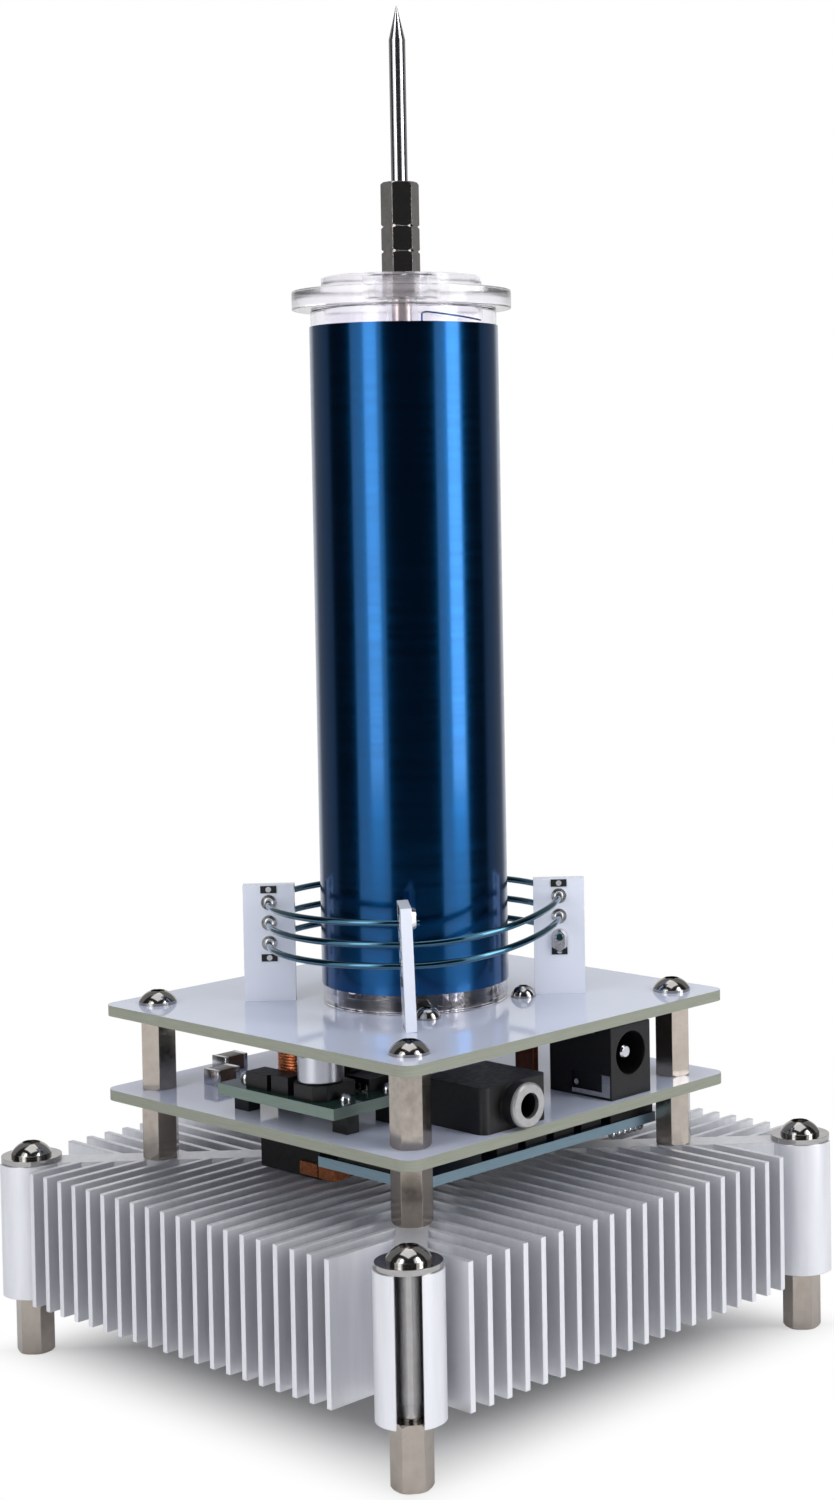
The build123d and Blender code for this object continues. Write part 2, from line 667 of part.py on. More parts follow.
def make_top_lead():
    """The winding's upper end: up round the tube, in through its hole and down to the lug."""
    outside = (TUBE_DIAMETER + GLUE_GAP + LEAD_WIRE) / 2 + GLUE_GAP
    hole_level = TUBE_TOP - LEAD_HOLE_DROP
    start_level = WINDING_TOP + GLUE_GAP + LEAD_WIRE / 2
    slope = (hole_level - start_level) / (outside * math.radians(LEAD_SWEEP))
    bend_angle = LEAD_ANGLE + math.degrees(LEAD_BEND / outside)
    stops = []
    for index in range(LEAD_STEPS + 1):
        share = index / LEAD_STEPS
        angle = bend_angle + LEAD_SWEEP * (1 - share)
        level = start_level + (hole_level - start_level) * share
        stops.append(lead_stop(outside, angle, level, 0, slope))
    down = TUBE_BORE / 2 - LEAD_BEND
    low = LUG_LOW - LEAD_WIRE / 2
    stops.append(lead_stop(outside - LEAD_BEND, LEAD_ANGLE, hole_level, 1, 0))
    stops.append(lead_stop(down + LEAD_BEND, LEAD_ANGLE, hole_level, 1, 0))
    stops.append(lead_stop(down, LEAD_ANGLE, hole_level - LEAD_BEND, 0, -1))
    stops.append(lead_stop(down, LEAD_ANGLE, low + LEAD_BEND, 0, -1))
    stops.append(lead_stop(down - LEAD_BEND, LEAD_ANGLE, low, 1, 0))
    stops.append(lead_stop(LUG_REACH - LUG_TAIL_WIDTH, LEAD_ANGLE, low, 1, 0))
    return [tube_along(route(stops), LEAD_WIRE)]


# ---------------------------------------------------------------- primary winding
def quarter_stops():
    """Where the wire crosses the posts: place and heading at each quarter turn, from the top."""
    stops = []
    for quarter in range(len(POST_ANGLES) * WIRE_LEVELS):
        x, y = polar(1, POST_ANGLES[-quarter % len(POST_ANGLES)])
        place = Vector(PRIMARY_RADIUS * x, PRIMARY_RADIUS * y, wire_level(quarter // len(POST_ANGLES)))
        stops.append((place, Vector(y, -x, 0)))
    return stops


def wire_stops():
    """Straight ends, and one biarc for each quarter turn: three stay level and one drops."""
    stops = quarter_stops()
    (first, first_dir), (last, last_dir) = stops[0], stops[-1]
    return [(first - first_dir * WIRE_END, first_dir)] + stops + [(last + last_dir * WIRE_END, last_dir)]


def least_gap(path):
    """The least clear distance between stretches of the wire more than half a turn apart."""
    points = [path.position_at(i / GAP_SAMPLES) for i in range(GAP_SAMPLES + 1)]
    apart = int(GAP_SAMPLES * math.pi * PRIMARY_RADIUS / path.length)
    gaps = [(first - second).length for i, first in enumerate(points) for second in points[i + apart :]]
    return min(gaps) - WIRE_DIAMETER


def make_primary():
    path = route(wire_stops())
    print("primary: least gap to itself", round(least_gap(path), 2), "length", round(path.length, 1))
    return [tube_along(path, WIRE_DIAMETER)]


def wire_level(index):
    return UPPER_TOP + WIRE_TOP - WIRE_PITCH * index


def post_frames():
    """Where each post stands: X away from the coil, Y along the wire, Z up from the board."""
    frames = []
    for angle, twist, lean in zip(POST_ANGLES, POST_TWISTS, POST_LEANS):
        lift = BOARD_THICKNESS / 2 * math.sin(math.radians(abs(lean)))
        foot = Rot(0, 0, angle) * Pos(PRIMARY_RADIUS, 0, UPPER_TOP + lift)
        frames.append(foot * Rot(0, 0, twist) * Rot(lean, 0, 0))
    return frames


def make_posts():
    """Four upright strips, edge on to the coil, tabbed into the upper board."""
    plate = Box(POST_WIDTH, BOARD_THICKNESS, POST_HEIGHT, align=ON_BASE)
    plate += Pos(0, 0, -BOARD_THICKNESS) * Box(TAB_WIDTH, BOARD_THICKNESS, BOARD_THICKNESS, align=ON_BASE)
    for index in range(WIRE_LEVELS):
        hole = Rot(90, 0, 0) * Cylinder(EYELET_DIAMETER / 2, 2 * BOARD_THICKNESS)
        plate -= Pos(0, 0, wire_level(index) - UPPER_TOP) * hole
    return [frame * plate for frame in post_frames()]


def make_eyelets():
    """Plated linings of the post holes, with a thin rim on each face."""
    length = BOARD_THICKNESS + 2 * LAND_THICKNESS
    lining = Cylinder((EYELET_DIAMETER - GLUE_GAP) / 2, length)
    rim = Cylinder(EYELET_RIM / 2, LAND_THICKNESS)
    for side in (-1, 1):
        lining += Pos(0, 0, side * (BOARD_THICKNESS + LAND_THICKNESS) / 2) * rim
    lining = Rot(90, 0, 0) * (lining - Cylinder(EYELET_BORE / 2, length + PAST))
    eyelets = []
    for frame in post_frames():
        for index in range(WIRE_LEVELS):
            eyelets.append(frame * Pos(0, 0, wire_level(index) - UPPER_TOP) * lining)
    return eyelets


def make_post_lands():
    """Solder lands on both faces near the top of each post and under its holes."""
    lowest = wire_level(WIRE_LEVELS - 1) - UPPER_TOP - EYELET_RIM / 2
    heights = (POST_HEIGHT - LAND_TOP_MARGIN - LAND_HEIGHT / 2, lowest - LAND_GAP - LAND_HEIGHT / 2)
    lands = []
    for frame in post_frames():
        for height in heights:
            for side in (-1, 1):
                face = side * (BOARD_THICKNESS + LAND_THICKNESS) / 2
                lands.append(frame * Pos(0, face, height) * Box(LAND_WIDTH, LAND_THICKNESS, LAND_HEIGHT))
    return lands


def make_end_solder():
    """Solder lumps that hold the wire's two ends against the first and last posts."""
    stops = quarter_stops()
    face = BOARD_THICKNESS / 2 + LAND_THICKNESS
    rise = WIRE_END - WIRE_END_SHOWING - face
    lump = extrude(SlotOverall(LUMP_HEIGHT, LUMP_WIDTH), rise, taper=LUMP_TAPER)
    lump = Pos(0, face, 0) * Rot(-90, 0, 0) * Rot(0, 0, 90) * lump
    hole = Cylinder((WIRE_DIAMETER + GLUE_GAP) / 2, 2 * (WIRE_END + PAST))
    lumps = []
    for post, stop, turn, shift in ((0, stops[0], 0, LUMP_SHIFT), (1, stops[-1], 180, -LUMP_SHIFT)):
        height = stop[0].Z - UPPER_TOP + shift
        placed = post_frames()[post] * Pos(0, 0, height) * Rot(0, 0, turn) * lump
        lumps.append(placed - Plane(stop[0], z_dir=stop[1]) * hole)
    return lumps


# ---------------------------------------------------------------- jacks
def make_power_jack():
    """Barrel jack housing: a lower rear part behind a full-height shoulder with the socket."""
    x_span = (POWER_FACE, POWER_FACE + POWER_WIDTH)
    rear = POWER_FRONT + POWER_DEPTH
    shoulder = POWER_FRONT + POWER_SHOULDER
    top = LOWER_TOP + POWER_HEIGHT
    housing = block(x_span, (POWER_FRONT, shoulder), (LOWER_TOP, top))
    housing += block(x_span, (shoulder, rear), (LOWER_TOP, top - POWER_SHOULDER_DROP))
    barrel = Pos(POWER_X, rear, POWER_LEVEL) * Rot(90, 0, 0) * rod(POWER_WIDTH, 0, POWER_DEPTH)
    housing += barrel & block(x_span, (POWER_FRONT, rear), (LOWER_TOP, top))
    bore = Pos(POWER_X, POWER_FRONT + POWER_BORE_DEPTH, POWER_LEVEL) * Rot(90, 0, 0)
    housing -= bore * rod(POWER_BORE, 0, POWER_BORE_DEPTH + PAST)
    y_span = (POWER_FRONT + CONTACT_FRONT, POWER_FRONT + CONTACT_FRONT + CONTACT_LENGTH)
    z_span = (LOWER_TOP + CONTACT_FOOT, LOWER_TOP + CONTACT_FOOT + CONTACT_HEIGHT)
    return [housing - block((POWER_FACE - PAST, POWER_FACE + CONTACT_DEPTH), y_span, z_span)]


def make_power_contact():
    """Side contact in its recess: a long foot, an upright behind the front wall and a rivet."""
    x_span = (POWER_FACE + CONTACT_CLEARANCE, POWER_FACE + CONTACT_DEPTH)
    front = POWER_FRONT + CONTACT_FRONT + CONTACT_CLEARANCE
    back = POWER_FRONT + CONTACT_FRONT + CONTACT_LENGTH - CONTACT_CLEARANCE
    foot = LOWER_TOP + CONTACT_FOOT
    top = foot + CONTACT_HEIGHT - CONTACT_CLEARANCE
    contact = block(x_span, (front, back), (foot, foot + CONTACT_STRIP))
    contact += block(x_span, (front, front + CONTACT_UPRIGHT), (foot, top))
    place = Pos(POWER_FACE + CONTACT_CLEARANCE, back - CONTACT_RIVET, (foot + top) / 2) * Rot(0, 90, 0)
    return [contact, place * rod(CONTACT_RIVET, 0, CONTACT_DEPTH - CONTACT_CLEARANCE)]


def make_power_pin():
    pin = rod(POWER_PIN, 0, POWER_BORE_DEPTH - POWER_PIN_RECESS)
    pin = chamfer(pin.edges().filter_by(GeomType.CIRCLE).sort_by(Axis.Z)[-1], POWER_PIN_CHAMFER)
    return [Pos(POWER_X, POWER_FRONT + POWER_BORE_DEPTH, POWER_LEVEL) * Rot(90, 0, 0) * pin]


def audio_axis():
    """The audio socket's axis: from the housing's front, out through the nose."""
    return Pos(AUDIO_X, AUDIO_FRONT, AUDIO_LEVEL) * Rot(90, 0, 0)


def audio_slot_spans(inset):
    """Length and width of the slot under the audio bore, or of what lies in it."""
    start = AUDIO_FRONT + AUDIO_SLOT_START
    half = AUDIO_SLOT_WIDTH / 2 - inset
    return (AUDIO_X - half, AUDIO_X + half), (start + inset, start + AUDIO_SLOT_LENGTH - inset)


def make_audio_jack():
    """Stereo jack housing with a round nose in front and a bore that runs through both."""
    x_span = (AUDIO_X - AUDIO_WIDTH / 2, AUDIO_X + AUDIO_WIDTH / 2)
    y_span = (AUDIO_FRONT, AUDIO_FRONT + AUDIO_DEPTH)
    housing = block(x_span, y_span, (LOWER_TOP, LOWER_TOP + AUDIO_HEIGHT))
    housing = fillet(housing.edges().filter_by(Axis.Z).group_by(Axis.Y)[0], AUDIO_CORNER)
    nose = AUDIO_NOSE - 2 * AUDIO_NOSE_STEP
    housing += audio_axis() * rod(nose, 0, AUDIO_NOSE_LENGTH - AUDIO_RING_LENGTH)
    housing -= audio_axis() * rod(AUDIO_BORE, AUDIO_NOSE_LENGTH - AUDIO_BORE_DEPTH, AUDIO_NOSE_LENGTH + PAST)
    bore_low = AUDIO_LEVEL - AUDIO_BORE / 2
    return [housing - block(*audio_slot_spans(0), (bore_low - AUDIO_SLOT_DEPTH, AUDIO_LEVEL))]


def make_audio_contact():
    """The tip contact, pressed down into its slot just under the bore."""
    low = AUDIO_LEVEL - AUDIO_BORE / 2 - AUDIO_SLOT_DEPTH
    return [block(*audio_slot_spans(CONTACT_CLEARANCE), (low, low + AUDIO_SLOT_DEPTH - CONTACT_CLEARANCE))]


def make_audio_ring():
    collar = ring(AUDIO_NOSE, AUDIO_BORE, AUDIO_NOSE_LENGTH - AUDIO_RING_LENGTH, AUDIO_NOSE_LENGTH)
    rims = collar.edges().filter_by(GeomType.CIRCLE).group_by(Axis.Z)[-1].sort_by(SortBy.RADIUS)
    return [audio_axis() * chamfer(rims[-1], AUDIO_RING_CHAMFER)]


# ---------------------------------------------------------------- converter module
def on_module(place):
    """A place measured from the module's corner nearest the front of the boards."""
    return (MODULE_CORNER[0] + place[0], MODULE_CORNER[1] + place[1])


def module_pins():
    sides = (PIN_INSET, MODULE_WIDTH - PIN_INSET)
    ends = (PIN_FRONT_INSET, MODULE_LENGTH - PIN_REAR_INSET)
    return [on_module((side, end)) for side in sides for end in ends]


def make_module_board():
    x, y = MODULE_CORNER
    return [block((x, x + MODULE_WIDTH), (y, y + MODULE_LENGTH), (MODULE_BOTTOM, MODULE_TOP))]


def make_module_spacers():
    size = (SPACER_WIDTH, SPACER_LENGTH, SPACER_HEIGHT)
    return [block_at(place, size, LOWER_TOP) for place in module_pins()]


def make_module_pins():
    return [dome(PIN_DOME, PIN_DOME_HEIGHT, MODULE_TOP, x, y) for x, y in module_pins()]


def make_can():
    x, y = on_module(CAN_PLACE)
    can = rod(CAN_DIAMETER, MODULE_TOP + CAN_BASE_HEIGHT, UPPER_BOTTOM - CAN_HEADROOM, x, y)
    return [fillet(can.edges().filter_by(GeomType.CIRCLE), CAN_EDGE)]


def make_can_base():
    base = block_at(on_module(CAN_PLACE), (CAN_BASE_SIDE, CAN_BASE_SIDE, CAN_BASE_HEIGHT), MODULE_TOP)
    return [chamfer(base.edges().filter_by(Axis.Z).group_by(Axis.X)[0], CAN_BASE_CHAMFER)]


def make_drum_core():
    x, y = on_module(DRUM_PLACE)
    top = UPPER_BOTTOM - DRUM_HEADROOM
    core = rod(DRUM_DIAMETER, MODULE_TOP, MODULE_TOP + DRUM_FLANGE, x, y)
    core += rod(DRUM_CORE, MODULE_TOP + DRUM_FLANGE, top - DRUM_FLANGE, x, y)
    return [core + rod(DRUM_DIAMETER, top - DRUM_FLANGE, top, x, y)]


def make_drum_winding():
    x, y = on_module(DRUM_PLACE)
    low = MODULE_TOP + DRUM_FLANGE + GLUE_GAP
    high = UPPER_BOTTOM - DRUM_HEADROOM - DRUM_FLANGE - GLUE_GAP
    return [ring(DRUM_WINDING, DRUM_CORE + GLUE_GAP, low, high, x, y)]


def make_module_chips():
    """Black packages on the module: the switching part, diode, regulator and small choke."""
    places = (SWITCHER_PLACE, DIODE_PLACE, REGULATOR_PLACE, CHOKE_PLACE)
    sizes = (SWITCHER_SIZE, DIODE_SIZE, REGULATOR_SIZE, CHOKE_SIZE)
    return [block_at(on_module(place), size, MODULE_TOP) for place, size in zip(places, sizes)]


def make_switcher_legs():
    """The switching part's legs, in a row along each long side."""
    x, y = on_module(SWITCHER_PLACE)
    legs = []
    for side in (-1, 1):
        face = x + side * SWITCHER_SIZE[0] / 2
        foot_x = sorted((face, face + side * LEG_REACH))
        riser_x = sorted((face, face + side * LEG_THICKNESS))
        for index in range(SWITCHER_LEADS):
            middle = y + LEG_PITCH * (index - (SWITCHER_LEADS - 1) / 2)
            y_span = (middle - LEG_WIDTH / 2, middle + LEG_WIDTH / 2)
            foot = block(foot_x, y_span, (MODULE_TOP, MODULE_TOP + LEG_THICKNESS))
            legs.append(foot + block(riser_x, y_span, (MODULE_TOP, MODULE_TOP + LEG_RISE)))
    return legs


# ---------------------------------------------------------------- loose parts of the lower board
def make_chip_capacitors():
    """Two large chip capacitors behind the module."""
    return [block_at(place, CHIP_CAP_SIZE, LOWER_TOP) for place in CHIP_CAP_PLACES]


def make_film_capacitor():
    return [block_at(FILM_CAP_PLACE, (*FILM_CAP_SIZE, UPPER_LENGTH - FILM_CAP_HEADROOM), LOWER_TOP)]


# ---------------------------------------------------------------- driver below
def transistor_hole():
    x, y = TRANSISTOR_PLACE
    return x, y - TRANSISTOR_LENGTH / 2 + TRANSISTOR_HOLE_INSET


def make_driver_board():
    return [block(DRIVER_X, DRIVER_Y, (DRIVER_BOTTOM, DRIVER_TOP))]


def socket_x_span():
    """The tall socket's reach, at the driver board's +X end."""
    return DRIVER_X[1] - SOCKET_MARGIN - SOCKET_LENGTH, DRIVER_X[1] - SOCKET_MARGIN


def make_driver_sockets():
    """The strip sockets that hang the driver board under the lower board."""
    z_span = (DRIVER_TOP, LOWER_BOTTOM)
    front = DRIVER_Y[0] + SOCKET_MARGIN
    side = DRIVER_X[0] + SOCKET_MARGIN
    tall = block(socket_x_span(), (front, front + SOCKET_WIDTH), z_span)
    strip_y = (DRIVER_Y[0] + STRIP_END_MARGIN, DRIVER_Y[1] - STRIP_END_MARGIN)
    return [tall, block((side, side + STRIP_WIDTH), strip_y, z_span)]


def make_driver_chips():
    """Packages on the driver board: a row along its front edge and a larger one behind."""
    y_front = DRIVER_Y[0] + ROW_CHIP_MARGIN + ROW_CHIP_SIZE[1] / 2
    first = socket_x_span()[0] - ROW_CHIP_MARGIN - ROW_CHIP_SIZE[0] / 2
    places = [(first - ROW_CHIP_PITCH * index, y_front) for index in range(ROW_CHIPS)]
    chips = [block_at(place, ROW_CHIP_SIZE, DRIVER_TOP) for place in places]
    y_rear = DRIVER_Y[1] - ROW_CHIP_MARGIN - GATE_CHIP_SIZE[1] / 2
    return chips + [block_at((0, y_rear), GATE_CHIP_SIZE, DRIVER_TOP)]


def make_driver_joints():
    """A row of solder beads under the driver board, below its tall socket."""
    bead = Rot(180, 0, 0) * dome(JOINT_DIAMETER, JOINT_HEIGHT, 0)
    x_low, x_high = socket_x_span()
    first = (x_low + x_high - JOINT_PITCH * (JOINT_COUNT - 1)) / 2
    y = DRIVER_Y[0] + SOCKET_MARGIN + JOINT_PITCH
    return [Pos(first + JOINT_PITCH * index, y, DRIVER_BOTTOM) * bead for index in range(JOINT_COUNT)]


def make_coupling_block():
    """Potted coupling transformer that hangs under the lower board."""
    return [block(BLOCK_X, BLOCK_Y, (SINK_TOP + SINK_GAP, LOWER_BOTTOM))]


def make_coupling_tabs():
    """Copper terminals: one low on the block's outer face, one beside it up to the driver."""
    low = SINK_TOP + TAB_LIFT
    face = BLOCK_X[0]
    short_y = (BLOCK_Y[0], BLOCK_Y[0] + TAB_LENGTH)
    first = block((face - TAB_THICKNESS, face), short_y, (low, low + TAB_HEIGHT))
    long_y = (DRIVER_Y[1] - LONG_TAB_LENGTH, DRIVER_Y[1])
    return [first, block((DRIVER_X[0], DRIVER_X[0] + LONG_TAB_SPAN), long_y, (low, DRIVER_BOTTOM))]


def make_transistor():
    """Power transistor lying flat on the heat sink's hub."""
    x, y = transistor_hole()
    body = block_at(TRANSISTOR_PLACE, (TRANSISTOR_WIDTH, TRANSISTOR_LENGTH, TRANSISTOR_THICKNESS), SINK_TOP)
    return [body - rod(TRANSISTOR_HOLE, SINK_TOP - PAST, SINK_TOP + TRANSISTOR_THICKNESS + PAST, x, y)]


def make_transistor_blades():
    """Three leads out of the package's end, turned up to the lower board."""
    y_low = TRANSISTOR_PLACE[1] + TRANSISTOR_LENGTH / 2
    y_high = y_low + BLADE_RUN
    level = SINK_TOP + TRANSISTOR_THICKNESS / 2
    blades = []
    for index in (-1, 0, 1):
        middle = TRANSISTOR_PLACE[0] + index * BLADE_PITCH
        x_span = (middle - BLADE_WIDTH / 2, middle + BLADE_WIDTH / 2)
        blade = block(x_span, (y_low, y_high), (level, level + BLADE_THICKNESS))
        blades.append(blade + block(x_span, (y_high - BLADE_THICKNESS, y_high), (level, LOWER_BOTTOM)))
    return blades


def make_transistor_screw():
    x, y = transistor_hole()
    sizes = (BOARD_HEAD_DIAMETER, BOARD_HEAD_HEIGHT, SINK_TOP + TRANSISTOR_THICKNESS)
    return [button_screw(*sizes, TRANSISTOR_THICKNESS + STUD_REACH, BOARD_SOCKET, x=x, y=y)]


NODES = {
    "heatsink": make_heatsink,
    "leg_standoffs": make_legs,
    "boss_washers": make_boss_washers,
    "boss_screws": make_boss_screws,
    "lower_standoffs": lambda: make_standoffs(SINK_TOP, LOWER_LENGTH, LOWER_TURNS, STUD_BORE_DEPTH),
    "upper_standoffs": lambda: make_standoffs(LOWER_TOP, UPPER_LENGTH, UPPER_TURNS, STUD_BORE_DEPTH),
    "lower_board": make_lower_board,
    "upper_board": make_upper_board,
    "board_screws": make_board_screws,
    "coil_tube": make_coil_tube,
    "secondary_winding": make_secondary,
    "coil_plug": make_coil_plug,
    "plug_screws": make_plug_screws,
    "terminal_screws": make_terminal_screws,
    "terminal_nuts": make_terminal_nuts,
    "top_cap": off_centre(make_cap),
    "cap_screw": off_centre(make_cap_screw),
    "cap_standoff": off_centre(make_cap_standoff),
    "lock_nut": off_centre(make_lock_nut),
    "needle_holder": off_centre(make_needle_holder),
    "discharge_needle": off_centre(make_needle),
    "lead_lug": off_centre(make_lead_lug),
    "top_lead": make_top_lead,
    "primary_winding": make_primary,
    "primary_posts": make_posts,
    "post_eyelets": make_eyelets,
    "post_lands": make_post_lands,
    "end_solder": make_end_solder,
    "power_jack_housing": make_power_jack,
    "power_jack_pin": make_power_pin,
    "power_jack_contact": make_power_contact,
    "audio_jack_housing": make_audio_jack,
    "audio_jack_ring": make_audio_ring,
    "audio_jack_contact": make_audio_contact,
    "converter_board": make_module_board,
    "converter_spacers": make_module_spacers,
    "converter_pins": make_module_pins,
    "filter_can": make_can,
    "filter_can_base": make_can_base,
    "inductor_core": make_drum_core,
    "inductor_winding": make_drum_winding,
    "converter_chips": make_module_chips,
    "switcher_legs": make_switcher_legs,
    "chip_capacitors": make_chip_capacitors,
    "film_capacitor": make_film_capacitor,
    "driver_board": make_driver_board,
    "driver_sockets": make_driver_sockets,
    "driver_chips": make_driver_chips,
    "driver_joints": make_driver_joints,
    "coupling_block": make_coupling_block,
    "coupling_tabs": make_coupling_tabs,
    "power_transistor": make_transistor,
    "transistor_leads": make_transistor_blades,
    "transistor_screw": make_transistor_screw,
}

os.makedirs("parts", exist_ok=True)
for node, make in NODES.items():
    save(node, [solid for shape in make() for solid in solids_of(shape)])
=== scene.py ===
import json
import math

import bpy
from bpy.props import FloatProperty, FloatVectorProperty, PointerProperty
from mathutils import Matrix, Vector

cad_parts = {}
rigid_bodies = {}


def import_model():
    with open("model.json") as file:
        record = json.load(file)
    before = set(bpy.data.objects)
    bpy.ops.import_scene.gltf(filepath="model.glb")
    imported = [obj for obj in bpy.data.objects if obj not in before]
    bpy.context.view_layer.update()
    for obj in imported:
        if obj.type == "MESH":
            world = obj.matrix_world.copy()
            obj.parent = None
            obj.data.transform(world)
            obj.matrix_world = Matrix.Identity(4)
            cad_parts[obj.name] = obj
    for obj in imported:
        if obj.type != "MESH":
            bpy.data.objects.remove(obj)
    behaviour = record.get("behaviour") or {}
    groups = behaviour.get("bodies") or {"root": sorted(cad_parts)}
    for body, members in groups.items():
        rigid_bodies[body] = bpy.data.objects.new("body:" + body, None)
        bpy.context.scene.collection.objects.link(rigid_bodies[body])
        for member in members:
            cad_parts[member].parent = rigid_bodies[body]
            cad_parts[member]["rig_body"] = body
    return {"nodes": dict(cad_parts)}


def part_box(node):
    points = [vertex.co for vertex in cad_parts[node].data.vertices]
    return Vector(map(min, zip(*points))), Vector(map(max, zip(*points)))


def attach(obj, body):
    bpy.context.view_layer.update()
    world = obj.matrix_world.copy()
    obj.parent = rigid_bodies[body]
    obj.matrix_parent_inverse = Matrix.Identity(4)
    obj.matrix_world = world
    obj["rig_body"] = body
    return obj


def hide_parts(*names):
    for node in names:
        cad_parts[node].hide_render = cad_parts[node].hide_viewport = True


bl_info = {
    "name": "Desktop resonant transformer",
    "version": (1, 0, 0),
    "blender": (4, 5, 0),
    "location": "View3D > Sidebar > Transformer",
    "description": "Dresses the packed desktop resonant transformer and sets its stage",
    "category": "Object",
}

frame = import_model()
MM = 0.001
MICRON = 0.000001


def box_mm(node):
    """Lowest and highest corner of a node of the frame, in millimetres."""
    low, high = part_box(node)
    return low / MM, high / MM


def hex_colour(text):
    """Linear colour of an sRGB hex value."""
    parts = [int(text[i : i + 2], 16) / 255 for i in (0, 2, 4)]
    linear = [c / 12.92 if c <= 0.04045 else ((c + 0.055) / 1.055) ** 2.4 for c in parts]
    return (*linear, 1.0)


def darker(colour, share):
    """A colour brought down to a share of its light."""
    return (*[channel * share for channel in colour[:3]], 1.0)


# ------------------------------------------------------------------ sizes and colours
class TransformerSizes(bpy.types.PropertyGroup):
    """Sizes of the wires that are wound over the frame."""

    primary_wire: FloatProperty(
        name="Primary wire", description="Thickness of the primary wire", default=1.0 * MM, unit="LENGTH"
    )
    turn_pitch: FloatProperty(
        name="Turn spacing", description="Spacing of the secondary's turns", default=0.2 * MM, unit="LENGTH"
    )
    turn_groove: FloatProperty(
        name="Groove depth", description="Depth between varnished turns", default=4 * MICRON, unit="LENGTH"
    )
    choke_wire: FloatProperty(
        name="Choke wire", description="Thickness of the choke's wire", default=0.42 * MM, unit="LENGTH"
    )


class TransformerColours(bpy.types.PropertyGroup):
    """Colours of the main finishes."""

    secondary: FloatVectorProperty(
        name="Secondary enamel", description="Colour of the wound secondary", subtype="COLOR", size=4,
        default=hex_colour("105086"),
    )
    primary: FloatVectorProperty(
        name="Primary enamel", description="Colour of the primary wire", subtype="COLOR", size=4,
        default=hex_colour("2a6580"),
    )
    mask: FloatVectorProperty(
        name="Solder mask", description="Colour of the two white boards' faces", subtype="COLOR", size=4,
        default=hex_colour("ccd2e4"),
    )


# Sizes of the new pieces in millimetres. What isn't here comes from the frame's own boxes.
# faces of new clear pieces keep this far from what they touch, so that none lie on each other
CLEARANCE = 0.02
TUBE_WALL, TUBE_EDGE = 2.0, 0.12
# the cap's radii, the height of its disc, the floor of the pocket over the tube's rim, and its broken edges
CAP_BORE, CAP_SPIGOT, CAP_DISC, CAP_POCKET = 1.6, 11.5, 12.0, 3.95
CAP_DISC_HEIGHT, CAP_FLOOR, CAP_EDGE = 2.0, 1.3, 0.2
# the primary passes the posts at these angles in degrees, and goes on past the first and last of them
POST_ANGLES = (-136.0, 135.0, 45.0, -45.0)
PRIMARY_LEVELS = (67.4, 64.3, 61.2)
PRIMARY_RADIUS, PRIMARY_END = 21.9, 1.7
# the choke's turns start just outside the drum's core of 1.6
CHOKE_INNER = 1.656
# the tin wraps this much of each end of a chip capacitor, and stands out from its ceramic
CAPACITOR_LENGTH, CAPACITOR_WIDTH, CAPACITOR_EDGE = 4.5, 3.2, 0.1
TIN_LENGTH, TIN_STEP = 0.75, 0.06
# painted highlights on the black pads, each drawn as a bright metal dot: distance from the coil's axis,
# levels and radius
PAINTED_GLINT_REACH, PAINTED_GLINT_LEVELS, PAINTED_GLINT_RADIUS = 21.92, (69.35, 59.0), 0.42

# Faces meeting at less than this many degrees are shaded as one. On clear pieces it is small, because
# a long face that is shaded together with its narrow broken edge shows dark blocks.
CLEAR_ANGLE, SMALL_PART_ANGLE, WOUND_ANGLE = 20, 35, 60


# ------------------------------------------------------------------ materials
# sockets of a Mix node that mixes colours
FACTOR, FIRST, SECOND, MIXED = 0, 6, 7, 2
# nearly all of a noise's values lie between these
NOISE_LOW, NOISE_HIGH = 0.3, 0.7


def feed(node, inputs):
    """Values or links on a node's inputs."""
    for key, value in inputs.items():
        if isinstance(value, bpy.types.NodeSocket):
            node.id_data.links.new(value, node.inputs[key])
        else:
            node.inputs[key].default_value = value


def add(owner, kind, inputs=None, **settings):
    """One node with its settings, and with values or links on its inputs."""
    node = owner.node_tree.nodes.new(kind)
    for name, value in settings.items():
        setattr(node, name, value)
    feed(node, inputs or {})
    return node


def new_finish(name, values=None):
    """A new material and its shader, which has the values that are the same everywhere."""
    material = bpy.data.materials.new(name)
    material.use_nodes = True
    shader = material.node_tree.nodes["Principled BSDF"]
    feed(shader, values or {})
    return material, shader


def grain(material, size_mm, stretch=(1, 1, 1), detail=3.0):
    """Noise whose grain has a real size, drawn out along the axes whose stretch is above one."""
    vector = add(material, "ShaderNodeTexCoord").outputs["Object"]
    scale = [1 / (size_mm * MM * along) for along in stretch]
    mapping = add(material, "ShaderNodeMapping", {"Vector": vector, "Scale": scale})
    noise = {"Vector": mapping.outputs[0], "Scale": 1.0, "Detail": detail}
    return add(material, "ShaderNodeTexNoise", noise).outputs["Fac"]


def two_tones(material, light, dark, grain_mm, stretch=(1, 1, 1)):
    """Colour that drifts between two tones over a grain of a real size."""
    tones = {FACTOR: grain(material, grain_mm, stretch), FIRST: light, SECOND: dark}
    return add(material, "ShaderNodeMix", tones, data_type="RGBA").outputs[MIXED]


def mottle(material, shader, light, dark, grain_mm, rough, stretch=(1, 1, 1)):
    """Drifting colour, and a polish that drifts between two roughnesses over half its grain."""
    polish = {
        "Value": grain(material, grain_mm / 2, stretch, detail=4.0),
        "From Min": NOISE_LOW, "From Max": NOISE_HIGH, "To Min": rough[0], "To Max": rough[1],
    }
    polish = add(material, "ShaderNodeMapRange", polish).outputs[0]
    feed(shader, {"Base Color": two_tones(material, light, dark, grain_mm, stretch), "Roughness": polish})


